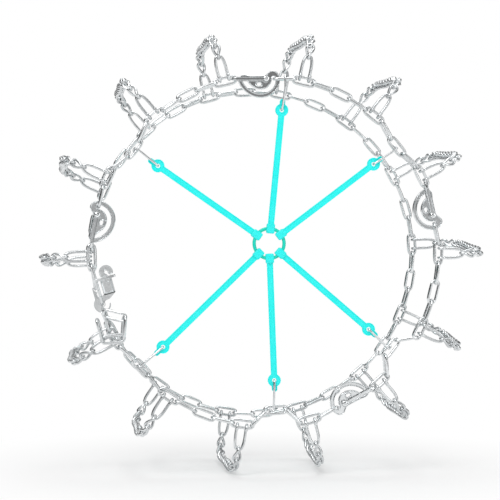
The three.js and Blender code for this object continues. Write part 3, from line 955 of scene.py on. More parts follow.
@dataclass
class CrossChains:
    """The arched cross chains: twisted links, and a two-legged hook at each end."""

    plan: Plan
    turn_per_link: float = 7.5
    crown_radius: float = 6.0
    hook_spread: float = 8.75
    neck: float = 11.0
    neck_share: float = 0.6
    wrap_radius: float = 5.8
    wrap_turns: tuple[float, ...] = (-12.0, 33.0, 78.0, 123.0, 168.0, 213.0)
    tip: float = 3.0
    samples: int = 60

    def _curve(self, points: list[Vector]) -> list[Vector]:
        """Even samples of a centripetal curve through points.

        Args:
            points: The points.

        Returns:
            Close samples from the first point to the last.
        """
        ends = [points[0] * 2.0 - points[1], *points, points[-1] * 2.0 - points[-2]]
        samples = []
        for i in range(len(points) - 1):
            p0, p1, p2, p3 = ends[i:i + 4]
            d0, d1, d2 = ((b - a).length ** 0.5 for a, b in ((p0, p1), (p1, p2), (p2, p3)))
            leaving = ((p1 - p0) / d0 - (p2 - p0) / (d0 + d1) + (p2 - p1) / d1) * d1
            arriving = ((p2 - p1) / d1 - (p3 - p1) / (d1 + d2) + (p3 - p2) / d2) * d1
            for k in range(self.samples):
                t = k / self.samples
                samples.append(
                    p1 + leaving * t + (p2 * 3.0 - p1 * 3.0 - leaving * 2.0 - arriving) * t**2
                    + (p1 * 2.0 - p2 * 2.0 + leaving + arriving) * t**3
                )
        samples.append(points[-1].copy())
        return samples

    def _route(self, index: int) -> tuple[list[Vector], tuple, tuple]:
        """Where one chain lies.

        Args:
            index: The chain's place round the net.

        Returns:
            Its joints, and the outer and inner stations as their outward way and leg.
        """
        plan = self.plan
        outer_angle = plan.bays[index].station
        place = index - plan.fastener_index - 1
        inner_angle = plan.inner_angle(plan.inner_first + plan.inner_stride * place)
        turn = inner_angle - outer_angle
        turn = math.atan2(math.sin(turn), math.cos(turn))
        shoulder = plan.drum_radius - plan.shoulder_drop
        arch = (
            (-plan.shoulder_depth, shoulder),
            (-plan.drum_half_width, plan.over_drum),
            (0.0, plan.over_drum),
            (plan.drum_half_width, plan.over_drum),
            (plan.shoulder_depth, shoulder),
        )
        over = []
        for depth, radius in arch:
            angle = outer_angle + turn * (depth + plan.side_plane) / (2.0 * plan.side_plane)
            over.append(ring_point(angle, radius, depth))
        seats = []
        for angle, radius, depth in (
            (outer_angle, plan.radius, -plan.side_plane),
            (inner_angle, plan.inner_radius, plan.side_plane),
        ):
            flat = math.sqrt(radius**2 - (plan.side_pitch / 2.0) ** 2)
            leg = ring_point(angle, flat + plan.side_spread, depth)
            seats.append((ring_point(angle, 1.0, 0.0), leg))
        samples = self._curve([seats[0][1], *over, seats[1][1]])
        lengths = [0.0]
        for a, b in zip(samples, samples[1:]):
            lengths.append(lengths[-1] + (b - a).length)
        joints = []
        for k in range(plan.cross_links + 1):
            wanted = plan.hook_length + (lengths[-1] - 2.0 * plan.hook_length) * k / plan.cross_links
            at = next(i for i, length in enumerate(lengths) if length >= wanted)
            share = (wanted - lengths[at - 1]) / (lengths[at] - lengths[at - 1])
            joints.append(samples[at - 1].lerp(samples[at], share))
        return joints, seats[0], seats[1]

    def _hook(self, joint: Vector, seat: tuple, inboard: Vector) -> bmesh.types.BMesh:
        """Bends one end hook: a crown in the last link, and two legs round the station link.

        Args:
            joint: Where the last link ends.
            seat: The station's outward way, and the middle of the leg that it closes round.
            inboard: Towards the net's middle plane.

        Returns:
            The hook's mesh.
        """
        outward, leg = seat
        sideways = DEPTH.cross(outward).normalized()
        behind = leg + inboard * self.wrap_radius
        heading = (behind - joint).normalized()
        crown = joint + heading * (self.crown_radius - self.plan.cross_wire / 2.0)
        wrap = self.wrap_radius / WRAP_SHRINK
        sides = []
        for side in (1.0, -1.0):
            shift = sideways * (side * self.hook_spread)
            turned = [
                leg + shift + inboard * (wrap * math.cos(math.radians(a)))
                - outward * (wrap * math.sin(math.radians(a)))
                for a in self.wrap_turns
            ]
            neck = joint + heading * self.neck + shift
            bend = neck.lerp(turned[0], self.neck_share)
            sides.append([neck, bend, *turned, turned[-1] + outward * self.tip])
        arch = [
            crown - heading * (self.crown_radius * ahead) + sideways * (self.crown_radius * aside)
            for ahead, aside in CROWN_SHARES
        ]
        path = [*reversed(sides[0]), *arch, *sides[1]]
        return Wire(self.plan.cross_wire / 2.0 - WIRE_EASE).lay(path, False)

    def build(self) -> None:
        """Builds the cross chains."""
        plan = self.plan
        link = ClosedLink(plan.cross_wire, plan.cross_spread)
        for index in range(len(plan.bays)):
            letter = LETTERS[index]
            dice = random.Random(letter)
            joints, outer, inner = self._route(index)
            piece = Workpiece(f"cross_links_{letter}")
            for k, (start, stop) in enumerate(zip(joints, joints[1:])):
                heading = (stop - start).normalized()
                outward = (start + stop) / 2.0
                sideways = DEPTH.cross(Vector((outward.x, 0.0, outward.z)))
                sideways = (sideways - heading * sideways.dot(heading)).normalized()
                roll = Matrix.Rotation(math.radians(90.0 + self.turn_per_link * k), 3, heading)
                reach = heading * (plan.cross_wire / 2.0)
                made = link.bend(start - reach, stop + reach, roll @ sideways, math.pi / 2.0)
                piece.add(made, Matrix(), dice.random())
            piece.add(self._hook(joints[0], outer, DEPTH), Matrix(), dice.random())
            piece.add(self._hook(joints[-1], inner, -DEPTH), Matrix(), dice.random())
            piece.finish(Finishes.CROSS_WIRE, "net", [f"cross_chain_{letter}"], Rounding.SUBDIVIDE)


@dataclass(frozen=True)
class PlateShape:
    """A flat shape drawn along and outward, with holes, given thickness in depth."""

    outline: Sequence[tuple[float, float]]
    holes: Sequence[Sequence[tuple[float, float]]] = ()

    def cut(
        self, back: float, front: float, rims: Sequence[tuple[float, float]] = ()
    ) -> bmesh.types.BMesh:
        """Cuts the plate.

        Args:
            back: The depth of its back face.
            front: The depth of its front face, nearer the viewer.
            rims: Steps in from every edge of the front face: width, and how far it goes back.

        Returns:
            The plate's mesh.
        """
        mesh = bmesh.new()
        for loop in (self.outline, *self.holes):
            verts = [mesh.verts.new((x, back, z)) for x, z in loop]
            for i, vert in enumerate(verts):
                mesh.edges.new((vert, verts[(i + 1) % len(verts)]))
        filled = bmesh.ops.triangle_fill(mesh, edges=mesh.edges[:], use_beauty=True)["geom"]
        faces = [item for item in filled if isinstance(item, bmesh.types.BMFace)]
        raised = bmesh.ops.extrude_face_region(mesh, geom=faces)["geom"]
        verts = [item for item in raised if isinstance(item, bmesh.types.BMVert)]
        bmesh.ops.translate(mesh, verts=verts, vec=(0.0, front - back, 0.0))
        bmesh.ops.recalc_face_normals(mesh, faces=mesh.faces[:])
        face = [item for item in raised if isinstance(item, bmesh.types.BMFace)]
        for width, step in rims:
            bmesh.ops.inset_region(
                mesh, faces=face, thickness=width, depth=-step, use_even_offset=True, use_boundary=True
            )
        return mesh


def round_hole(x: float, z: float, radius: float, steps: int = 24) -> list[tuple[float, float]]:
    """A round loop."""
    turns = (2.0 * math.pi * k / steps for k in range(steps))
    return [(x + radius * math.cos(t), z + radius * math.sin(t)) for t in turns]


def arc_points(
    middle: tuple[float, float], radius: float, first: float, last: float, steps: int
) -> list[tuple[float, float]]:
    """Points of an arc.

    Args:
        middle: Its middle.
        radius: Its radius.
        first: The angle that it begins at, in degrees.
        last: The angle that it ends at, in degrees.
        steps: How many steps it is drawn in.

    Returns:
        The points.
    """
    x, z = middle
    turns = (math.radians(first + (last - first) * k / steps) for k in range(steps + 1))
    return [(x + radius * math.cos(t), z + radius * math.sin(t)) for t in turns]


def rounded_box(x0: float, x1: float, z0: float, z1: float, corner: float) -> list[tuple[float, float]]:
    """A rectangle's loop with round corners.

    Args:
        x0: Its lowest place along.
        x1: Its highest place along.
        z0: Its lowest place outward.
        z1: Its highest place outward.
        corner: The corners' radius.

    Returns:
        The loop, anticlockwise.
    """
    loop = []
    corners = ((x1, z1, 0.0), (x0, z1, 90.0), (x0, z0, 180.0), (x1, z0, 270.0))
    for x, z, first in corners:
        cx = x - corner if x == x1 else x + corner
        cz = z - corner if z == z1 else z + corner
        for k in range(CORNER_STEPS + 1):
            turned = math.radians(first + 90.0 / CORNER_STEPS * k)
            loop.append((cx + corner * math.cos(turned), cz + corner * math.sin(turned)))
    return loop


def band_loop(
    line: Sequence[tuple[float, float]], half: float, cap_steps: int = 8
) -> list[tuple[float, float]]:
    """The loop round a band of even width with round ends.

    Args:
        line: The band's middle.
        half: Half its width.
        cap_steps: How many steps each round end is drawn in.

    Returns:
        The loop.
    """
    last = len(line) - 1

    def heading(i: int) -> float:
        """The angle of the line at a point."""
        (x0, z0), (x1, z1) = line[max(i - 1, 0)], line[min(i + 1, last)]
        return math.atan2(z1 - z0, x1 - x0)

    def beside(i: int, turned: float) -> tuple[float, float]:
        """The point half a width away at an angle from the line."""
        angle = heading(i) + turned
        return (line[i][0] + half * math.cos(angle), line[i][1] + half * math.sin(angle))

    quarter = math.pi / 2.0
    loop = [beside(i, quarter) for i in range(last + 1)]
    loop += [beside(last, quarter - math.pi * k / cap_steps) for k in range(1, cap_steps)]
    loop += [beside(i, -quarter) for i in range(last, -1, -1)]
    loop += [beside(0, -quarter - math.pi * k / cap_steps) for k in range(1, cap_steps)]
    return loop


def smooth_path(points: Sequence[Vector], trim: float) -> list[Vector]:
    """Rounds the corners of a path.

    Args:
        points: The path.
        trim: How far before each corner the bend begins.

    Returns:
        The path with each corner drawn as a bend.
    """
    most = 0.45
    path = [points[0]]
    for before, corner, after in zip(points, points[1:], points[2:]):
        near, far = (
            corner + (end - corner).normalized() * min(trim, (end - corner).length * most)
            for end in (before, after)
        )
        path += [near, (near + far + corner * 2.0) / 4.0, far]
    return [*path, points[-1]]


@dataclass
class TighteningCams:
    """The four tightening cams: a pressed plate, a two-legged rod, a rivet and a running link each."""

    plan: Plan
    plate_back: float = 1.75
    plate_front: float = -2.5
    rims: tuple[tuple[float, float], ...] = (
        (0.75, -0.8), (0.35, -0.25), (0.35, 0.25), (0.95, 1.2)
    )
    band: float = 11.8
    waist: float = 7.0
    heel: tuple[float, float] = (12.6, 4.6)
    socket: tuple[float, float] = (-13.0, -10.0)
    socket_size: tuple[float, float] = (8.2, 5.6)
    socket_corner: float = 2.2
    rivet: float = 3.2
    rivet_play: float = 0.3
    rivet_head: float = 5.3
    rod_width: float = 6.5
    rod_inner: float = 3.9
    rod_outer: float = 8.9
    rod_rims: tuple[tuple[float, float], ...] = ((0.9, 0.0), (0.7, 0.9))
    rod_wire: float = 2.45
    core: tuple[float, float] = (-10.0, -6.0)
    farthest: float = 60.0
    fineness: float = 0.25
    steps: int = 120
    slot_steps: int = 40
    plate_tone: float = 0.25
    rod_tone: float = 0.35
    rivet_tone: float = 0.2
    link_tone: float = 0.4

    def _outline(self, line: Sequence[tuple[float, float]]) -> list[tuple[float, float]]:
        """The plate's outline: the band round the slot, what it encloses, the waist and the heel.

        Args:
            line: The slot's middle.

        Returns:
            The loop, drawn round a point inside the plate.
        """
        middle = self.core

        def holds(x: float, z: float) -> bool:
            """Whether a point is on the plate."""
            if line[-1][0] < x < self.heel[0] and 0.0 <= z < self.waist:
                return True
            if math.hypot(x - self.heel[0], z - self.heel[1]) < self.band:
                return True
            if any(math.hypot(x - px, z - pz) < self.band for px, pz in line):
                return True
            inside = False
            for (x0, z0), (x1, z1) in zip(line, (*line[1:], line[0])):
                if (z0 > z) != (z1 > z) and x < x0 + (x1 - x0) * (z - z0) / (z1 - z0):
                    inside = not inside
            return inside

        reaches = []
        for k in range(self.steps):
            turned = 2.0 * math.pi * k / self.steps
            reach = self.farthest
            way = (math.cos(turned), math.sin(turned))
            while not holds(middle[0] + reach * way[0], middle[1] + reach * way[1]):
                reach -= self.fineness
            reaches.append(reach)
        smooth = [
            (reaches[k - 1] + reaches[k] * 2.0 + reaches[(k + 1) % self.steps]) / 4.0
            for k in range(self.steps)
        ]
        return [
            (middle[0] + reach * math.cos(2.0 * math.pi * k / self.steps),
             middle[1] + reach * math.sin(2.0 * math.pi * k / self.steps))
            for k, reach in enumerate(smooth)
        ]

    def _plate(self) -> bmesh.types.BMesh:
        """Presses the plate, with a rim round its edge and round each hole."""
        line = self.plan.slot_line(self.slot_steps)
        (sx, sz), (wide, high) = self.socket, self.socket_size
        holes = [
            band_loop(line, self.plan.slot_half),
            rounded_box(
                sx - wide / 2.0, sx + wide / 2.0, sz - high / 2.0, sz + high / 2.0, self.socket_corner
            ),
            round_hole(0.0, 0.0, self.rivet + self.rivet_play),
        ]
        shape = PlateShape(self._outline(line), holes)
        return shape.cut(self.plate_back, self.plate_front, self.rims)

    def _rod_leg(self, side: float) -> bmesh.types.BMesh:
        """Cuts one leg of the rod, grooved on its outer face.

        Args:
            side: Minus one for the front leg, one for the rear leg.

        Returns:
            The leg's mesh.
        """
        half = self.rod_width / 2.0
        far = -self.plan.rod_length + 6.0
        loop = arc_points((0.0, 0.0), self.rod_width, -150.0, 150.0, 20)
        loop += [(far, half), (far, -half)]
        return PlateShape(loop).cut(side * self.rod_inner, side * self.rod_outer, self.rod_rims)

    def _rod_bend(self) -> bmesh.types.BMesh:
        """Bends the rod's end round the station link's crown."""
        radius = (self.rod_inner + self.rod_outer) / 2.0
        middle = -self.plan.rod_length + radius
        path = [
            Vector((middle + 4.0, radius, 0.0)),
            *(Vector((middle - radius * ahead, radius * aside, 0.0)) for ahead, aside in CROWN_SHARES),
            Vector((middle + 4.0, -radius, 0.0)),
        ]
        return Wire(self.rod_wire).lay(path, False)

    def _rivet_turned(self) -> bmesh.types.BMesh:
        """Turns the rivet, with a domed and dimpled head at the front."""
        shank, head = self.rod_outer + 0.1, self.rod_outer + 2.5
        profile = (
            (0.0, -head + 0.9), (1.0, -head + 0.8), (1.7, -head),
            (3.8, -head + 0.2), (5.0, -head + 1.0),
            (self.rivet_head, -shank), (self.rivet, -shank),
            (self.rivet, shank), (self.rivet_head, shank),
            (4.7, head - 0.9), (3.6, head - 0.3), (0.0, head),
        )
        return turned_part(profile, 28)

    def build(self) -> None:
        """Builds the cams."""
        plan = self.plan
        for number, bay in plan.named_cams():
            frame = bay.frame(plan.rivet_along(bay), -plan.side_plane)
            name = f"cam_{number}"
            plate = Workpiece(f"{name}_pressed_plate")
            plate.add(self._plate(), frame, self.plate_tone)
            plate.finish(
                Finishes.PRESSED_PLATE, f"{name}_plate", [f"{name}_plate"], Rounding.BEVEL
            )
            rod = Workpiece(f"{name}_strap_rod")
            for side in (-1.0, 1.0):
                rod.add(self._rod_leg(side), frame, self.rod_tone)
            rod.add(self._rod_bend(), frame, self.rod_tone)
            rod.finish(Finishes.PRESSED_PLATE, "net", [f"{name}_rod"], Rounding.BEVEL)
            rivet = Workpiece(f"{name}_domed_rivet")
            rivet.add(self._rivet_turned(), frame, self.rivet_tone)
            rivet.finish(Finishes.PRESSED_PLATE, "net", [f"{name}_rivet"], Rounding.BEVEL)
            link = ClosedLink(plan.side_wire, plan.side_spread)
            pulled = Workpiece(f"{name}_running_link")
            near = Vector((plan.cam_reach, 0.0, 0.0))
            far = Vector((plan.cam_reach + plan.crown_length, 0.0, 0.0))
            pulled.add(link.bend(near, far, DEPTH), frame, self.link_tone)
            pulled.finish(Finishes.SIDE_WIRE, f"{name}_link", [f"{name}_link"], Rounding.SUBDIVIDE)


def turned_part(profile: Sequence[tuple[float, float]], steps: int) -> bmesh.types.BMesh:
    """Turns a profile about the depth axis.

    Args:
        profile: Radius and depth of each point.
        steps: How many steps round.

    Returns:
        The turned mesh.
    """
    mesh = bmesh.new()
    verts = [mesh.verts.new((radius, depth, 0.0)) for radius, depth in profile]
    edges = [mesh.edges.new(pair) for pair in zip(verts, verts[1:])]
    bmesh.ops.spin(
        mesh, geom=[*verts, *edges], cent=(0.0, 0.0, 0.0), axis=(0.0, 1.0, 0.0), dvec=(0.0, 0.0, 0.0),
        angle=2.0 * math.pi, steps=steps, use_merge=True, use_duplicate=False,
    )
    bmesh.ops.remove_doubles(mesh, verts=mesh.verts[:], dist=MERGE_DISTANCE)
    bmesh.ops.recalc_face_normals(mesh, faces=mesh.faces[:])
    return mesh


@dataclass
class LeverFastener:
    """The lever fastener: long link, latch lever, sliding keeper and the chain's spare end."""

    plan: Plan
    latch_rim: float = 2.6
    latch_half: float = 2.5
    latch_rims: tuple[tuple[float, float], ...] = ((0.7, 0.0), (0.7, 0.7))
    channel_rims: tuple[tuple[float, float], ...] = ((1.6, 0.0), (2.4, 3.6))
    curl_rims: tuple[tuple[float, float], ...] = ((1.3, 0.0), (0.5, 1.0))
    mouth_turn: float = 280.0
    offset: float = 18.0
    width: float = 22.0
    reach: float = 46.0
    arm_half: float = 4.0
    curl: tuple[float, float, float] = (55.0, -22.0, 8.0)
    curl_band: float = 5.0
    keeper_wall: float = 2.2
    keeper_length: float = 5.0
    keeper_play: float = 5.5
    keeper_cover: float = 3.5
    lever_tone: float = 0.2
    keeper_tone: float = 0.3
    link_tone: float = 0.4
    tail_tones: tuple[float, float] = (0.3, 0.1)
    tail_gap: float = 0.3
    tail_start: float = 16.0
    tail_first: float = 120.0
    tail_bend: float = 80.0
    tail_lift: float = 8.0
    tail_leans: tuple[float, ...] = (12.0, -18.0, 14.0, -12.0)

    def _latch(self) -> bmesh.types.BMesh:
        """Cuts the latch disc, with its pivot hole and its throat."""
        plan = self.plan
        mid, half = plan.throat_radius, plan.slot_half
        rim = mid + half + self.latch_rim
        mouth, origin = self.mouth_turn, (0.0, 0.0)
        open_turn = math.degrees(math.asin(half / rim))
        wall_turn = math.degrees(math.asin(half / (mid + half)))
        end = (mid * math.cos(math.radians(mouth)), mid * math.sin(math.radians(mouth)))
        loop = arc_points(origin, rim, mouth + open_turn, mouth + 360.0 - open_turn, 44)
        loop += arc_points(origin, mid + half, mouth - wall_turn, 180.0, 12)
        loop += arc_points((-mid, 0.0), half, 180.0, 0.0, 10)[1:]
        loop += arc_points(origin, mid - half, 180.0, mouth, 12)[1:]
        loop += arc_points(end, half, mouth - 180.0, mouth - 270.0, 6)[1:]
        shape = PlateShape(loop, [round_hole(0.0, 0.0, half, 20)])
        return shape.cut(self.latch_half, -self.latch_half, self.latch_rims)

    def _arm(self) -> list[bmesh.types.BMesh]:
        """Cuts the lever's root, folds its channel, and curls its tip."""
        low, high = -self.offset - self.width / 2.0, -self.offset + self.width / 2.0
        root = PlateShape([
            (6.4, -15.6), (15.6, low), (17.0, low), (17.0, high), (16.4, high), (13.0, 0.0), (6.4, 0.0)
        ])
        channel = PlateShape(rounded_box(15.0, self.reach - 1.0, low, high, 3.0))
        along, inward, radius = self.curl
        line = [(self.reach - 5.0, inward + 1.0), (self.reach - 1.5, inward + 2.0)]
        line += arc_points((along, inward), radius, 150.0, -100.0, 24)
        curl = PlateShape(band_loop(line, self.curl_band))
        return [
            root.cut(self.arm_half, -self.arm_half),
            channel.cut(self.arm_half, -self.arm_half, self.channel_rims),
            curl.cut(self.arm_half - 2.0, -self.arm_half + 0.8, self.curl_rims),
        ]

    def _keeper(self) -> bmesh.types.BMesh:
        """Folds the keeper's band round the long link and the lever's tip."""
        plan = self.plan
        outer = plan.bar / 2.0 + plan.running_gap
        inner = -self.offset - self.width / 2.0 - self.keeper_play
        side = plan.side_spread + plan.bar / 2.0 + plan.running_gap
        wall = self.keeper_wall
        band = PlateShape(
            rounded_box(inner - wall, outer + wall, -side - wall, side + wall, 3.4),
            [rounded_box(inner, outer, -side, side, 1.4)],
        )
        start = self.reach - self.keeper_cover
        made = band.cut(start, start + self.keeper_length)
        turned = Matrix((
            (0.0, 1.0, 0.0, 0.0), (0.0, 0.0, 1.0, 0.0), (1.0, 0.0, 0.0, 0.0), (0.0, 0.0, 0.0, 1.0)
        ))
        bmesh.ops.transform(made, matrix=turned, verts=made.verts[:])
        return made

    def _tail(self, piece: Workpiece, frame: Matrix) -> None:
        """Lays the spare links, looped in front of the link that the lever holds.

        Args:
            piece: The piece that takes them in.
            frame: The fastener's frame.
        """
        plan = self.plan
        front = -plan.side_spread - plan.bar - self.tail_gap - plan.running_gap
        link = ClosedLink(plan.side_wire, plan.side_spread)
        here = Vector((-self.tail_start, front, 0.0))
        for k, lean in enumerate(self.tail_leans):
            turned = math.radians(-(self.tail_first + k * self.tail_bend))
            there = here + Vector((math.cos(turned), 0.0, math.sin(turned))) * plan.side_pitch
            there.y = front - self.tail_lift
            heading = (there - here).normalized()
            flat = heading.cross(DEPTH).normalized()
            width = Matrix.Rotation(math.radians(lean), 3, heading) @ (flat if k % 2 == 0 else DEPTH)
            reach = heading * (plan.side_wire / 2.0)
            bent = link.bend(here - reach, there + reach, width)
            piece.add(bent, frame, self.tail_tones[0] + self.tail_tones[1] * k)
            here = there

    def build(self) -> None:
        """Builds the fastener."""
        plan = self.plan
        bay = plan.bays[plan.fastener_index]
        frame = bay.frame(plan.pivot_along(bay), -plan.side_plane)
        lever = Workpiece("latch_lever")
        for part in (self._latch(), *self._arm()):
            lever.add(part, frame, self.lever_tone)
        node = "fastener_lever"
        lever.finish(Finishes.PRESSED_PLATE, node, [node], Rounding.BEVEL)
        keeper = Workpiece("sliding_keeper")
        keeper.add(self._keeper(), frame, self.keeper_tone)
        node = "fastener_keeper"
        keeper.finish(Finishes.PRESSED_PLATE, node, [node], Rounding.BEVEL)
        held = Workpiece("long_link")
        link = ClosedLink(plan.side_wire, plan.side_spread)
        far = Vector((plan.long_link, 0.0, 0.0))
        held.add(link.bend(Vector((0.0, 0.0, 0.0)), far, DEPTH), frame, self.link_tone)
        held.finish(Finishes.SIDE_WIRE, "net", ["fastener_long_link"], Rounding.SUBDIVIDE)
        tail = Workpiece("spare_links")
        self._tail(tail, frame)
        tail.finish(Finishes.SIDE_WIRE, "net", ["fastener_tail"], Rounding.SUBDIVIDE)


@dataclass
class InnerHook:
    """The flat hook that closes the inner side chain."""

    plan: Plan
    play: float = 0.4
    rim: float = 2.6
    half: float = 2.5
    tone: float = 0.35

    def build(self) -> None:
        """Builds the hook."""
        plan = self.plan
        bore = plan.slot_half + self.play
        eye = bore + self.rim
        reach = plan.side_pitch - 2.0 * plan.crown_step
        lip = math.degrees(math.acos(bore / eye))
        loop = arc_points((0.0, 0.0), eye, 90.0, 360.0, 24)
        loop += arc_points((reach, 0.0), eye, 180.0, 180.0 + lip, 5)
        loop += arc_points((reach, 0.0), bore, 180.0, 0.0, 12)
        loop += arc_points((reach, 0.0), eye, 360.0 - lip, 450.0, 14)
        plate = PlateShape(loop, [round_hole(0.0, 0.0, bore, 20)])
        middle = plan.inner_angle(0.5)
        flat = plan.inner_radius * math.cos(plan.inner_step / 2.0)
        turned = Matrix.Rotation(middle, 4, "Y")
        seat = ring_point(middle, flat, plan.side_plane)
        seat += turned.to_3x3() @ Vector((plan.crown_step - plan.side_pitch / 2.0, 0.0, 0.0))
        piece = Workpiece("inner_flat_hook")
        frame = Matrix.Translation(seat) @ turned
        piece.add(plate.cut(self.half, -self.half), frame, self.tone)
        piece.finish(Finishes.PRESSED_PLATE, "inner_hook", ["inner_hook"], Rounding.BEVEL)


@dataclass
class Tensioner:
    """The rubber tensioner: a ring, six arms moulded round it, and a wire hook on each arm."""

    plan: Plan
    across: float = 5.0
    up: float = 13.5
    ring_radius: float = 27.75
    cord: float = 6.5
    sleeve: tuple[float, float, float] = (15.2, 18.4, 13.0)
    strap_half: float = 5.7
    strap_depth: float = 2.5
    strap_rims: tuple[tuple[float, float], ...] = ((1.5, 0.0), (0.7, 1.1))
    strap_cuts: int = 10
    sleeve_edge: float = 2.6
    eyelet: float = 12.0
    bore: float = 4.0
    tab: tuple[float, float] = (5.0, 21.0)
    reach: float = 48.0
    top_setback: float = 10.0
    hook_wire: float = 4.3
    hook_lean: float = 35.0
    hook_tail: float = 9.0
    hook_trim: float = 3.4
    hook_tone: float = 0.3
    cam_hook_reach: float = 35.0
    cam_hook_straight: float = 18.0

    @property
    def middle(self) -> Vector:
        """The ring's middle."""
        return Vector((self.across, -self.plan.side_plane, self.up))

    def _ring(self) -> None:
        """Spins the ring's cord."""
        mesh = bmesh.new()
        bmesh.ops.create_circle(
            mesh, cap_ends=False, segments=16, radius=self.cord / 2.0,
            matrix=Matrix.Translation((self.ring_radius, 0.0, 0.0)),
        )
        bmesh.ops.spin(
            mesh, geom=[*mesh.verts, *mesh.edges], cent=(0.0, 0.0, 0.0), axis=(0.0, 1.0, 0.0),
            dvec=(0.0, 0.0, 0.0), angle=2.0 * math.pi, steps=64, use_merge=True, use_duplicate=False,
        )
        bmesh.ops.remove_doubles(mesh, verts=mesh.verts[:], dist=MERGE_DISTANCE)
        piece = Workpiece("hub_ring")
        piece.add(mesh, Matrix.Translation(self.middle))
        piece.finish(Finishes.GREEN, "net", ["tensioner_ring"], Rounding.NONE)

    def _seat(self, bay: Bay) -> Vector:
        """Where a hook pulls on the outer side chain."""
        plan = self.plan
        if bay.kind is Kind.CAM:
            along = plan.rivet_along(bay) + self.cam_hook_reach
            return bay.point(along, 0.0, -plan.side_plane - plan.side_spread)
        return bay.point(0.0, bay.pull + plan.side_spread, -plan.side_plane)

    def _arm(self, number: int, distance: float, turn: float) -> None:
        """Moulds one arm: sleeve, strap with raised edges, and a lipped eyelet.

        Args:
            number: The arm's number.
            distance: From the ring's middle to the eyelet's.
            turn: The arm's angle round the ring.
        """
        wide, long, deep = self.sleeve
        first = self.ring_radius + 3.0
        side, far = self.tab
        flare = math.asin(self.strap_half / self.eyelet)
        start, stop = math.radians(-90.0) + flare, math.radians(90.0) - math.asin(side / self.eyelet)
        turns = [start + (stop - start) * k / 16 for k in range(17)]
        flank = [(self.eyelet * math.cos(t), distance + self.eyelet * math.sin(t)) for t in turns]
        tips = [math.radians(90.0 * k / 5) for k in range(6)]
        flank += [(side * math.cos(t), distance + far - side * (1.0 - math.sin(t))) for t in tips]
        mirrored = [(-x, z) for x, z in reversed(flank[:-1])]
        loop = [(self.strap_half, first), *flank, *mirrored, (-self.strap_half, first)]
        strap = PlateShape(loop, [round_hole(0.0, distance, self.bore)]).cut(
            self.strap_depth, -self.strap_depth, self.strap_rims
        )
        for k in range(1, self.strap_cuts):
            level = first + (distance - self.eyelet - first) * k / self.strap_cuts
            geom = [*strap.verts, *strap.edges, *strap.faces]
            bmesh.ops.bisect_plane(
                strap, geom=geom, plane_co=(0.0, 0.0, level), plane_no=(0.0, 0.0, 1.0)
            )
        block = bmesh.new()
        size = Matrix.Diagonal((wide, deep, long, 1.0))
        centred = Matrix.Translation((0.0, 0.0, self.ring_radius)) @ size
        bmesh.ops.create_cube(block, size=1.0, matrix=centred)
        bmesh.ops.bevel(
            block, geom=[*block.verts, *block.edges], offset=self.sleeve_edge, offset_type="OFFSET",
            segments=3, profile=0.5, affect="EDGES", material=-1,
        )
        frame = Matrix.Translation(self.middle) @ Matrix.Rotation(turn, 4, "Y")
        piece = Workpiece(f"rubber_arm_{number}")
        piece.add(strap, frame)
        piece.add(block, frame)
        made = piece.finish(Finishes.TURQUOISE, "", [f"tensioner_arm_{number}"], Rounding.NONE)
        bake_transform(made)
        soften(made, RUBBER_EDGE_WIDTH)

    def _hook(self, number: int, bay: Bay, seat: Vector, eyelet: Vector) -> None:
        """Bends one wire hook from the eyelet round the chain.

        Args:
            number: The hook's number.
            bay: The bay that it pulls on.
            seat: Where it pulls.
            eyelet: The middle of the arm's eyelet.
        """
        plan = self.plan
        lean = 0.0 if bay.kind is Kind.CAM else math.radians(self.hook_lean)
        sideways = DEPTH.cross(bay.outward)
        forward = sideways * math.sin(lean) - DEPTH * math.cos(lean)
        half = self.hook_wire / 2.0
        crown = plan.side_wire / 2.0 + 0.2 + half
        spread = (crown + 0.3) / math.cos(lean)
        pull = seat - eyelet
        pull.y = 0.0
        pull.normalize()
        through = self.strap_depth + 0.6 + half
        front = eyelet - DEPTH * through
        behind = eyelet + DEPTH * through
        points = [
            seat - forward * spread - bay.outward,
            seat - forward * spread + bay.outward * crown,
            seat + forward * spread + bay.outward * crown,
        ]
        if bay.kind is Kind.CAM:
            points.append(seat + forward * spread - bay.outward * self.cam_hook_straight)
        points += [front, behind, behind + pull * self.hook_tail]
        piece = Workpiece(f"wire_hook_{number}")
        wire = Wire(half - WIRE_EASE).lay(smooth_path(points, self.hook_trim), False)
        piece.add(wire, Matrix(), self.hook_tone)
        node = f"tensioner_hook_{number}"
        piece.finish(Finishes.SIDE_WIRE, node, [node], Rounding.SUBDIVIDE)

    def build(self) -> None:
        """Builds the ring, the arms and their hooks."""
        self._ring()
        bays = [self.plan.bays[-1], *(bay for bay in self.plan.bays if bay.kind is Kind.PULLED)]
        for number, bay in enumerate(bays, start=1):
            seat = self._seat(bay)
            level = Vector((seat.x, -self.plan.side_plane, seat.z))
            setback = self.reach + (self.top_setback if bay.kind is Kind.CAM else 0.0)
            eyelet = level + (self.middle - level).normalized() * setback
            reach = eyelet - self.middle
            self._arm(number, reach.length, math.atan2(reach.x, reach.z))
            self._hook(number, bay, seat, eyelet)


@dataclass(frozen=True)
class Lamp:
    """One soft square lamp that faces the net, in metres and watts."""

    name: str
    place: tuple[float, float, float]
    size: float
    watts: float

    def hang(self) -> None:
        """Hangs the lamp."""
        data = bpy.data.lights.new(self.name, "AREA")
        data.shape = "SQUARE"
        data.size = self.size
        data.energy = self.watts
        lamp = bpy.data.objects.new(self.name, data)
        lamp.location = self.place
        lamp.rotation_euler = (-Vector(self.place)).to_track_quat("-Z", "Y").to_euler()
        bpy.context.scene.collection.objects.link(lamp)


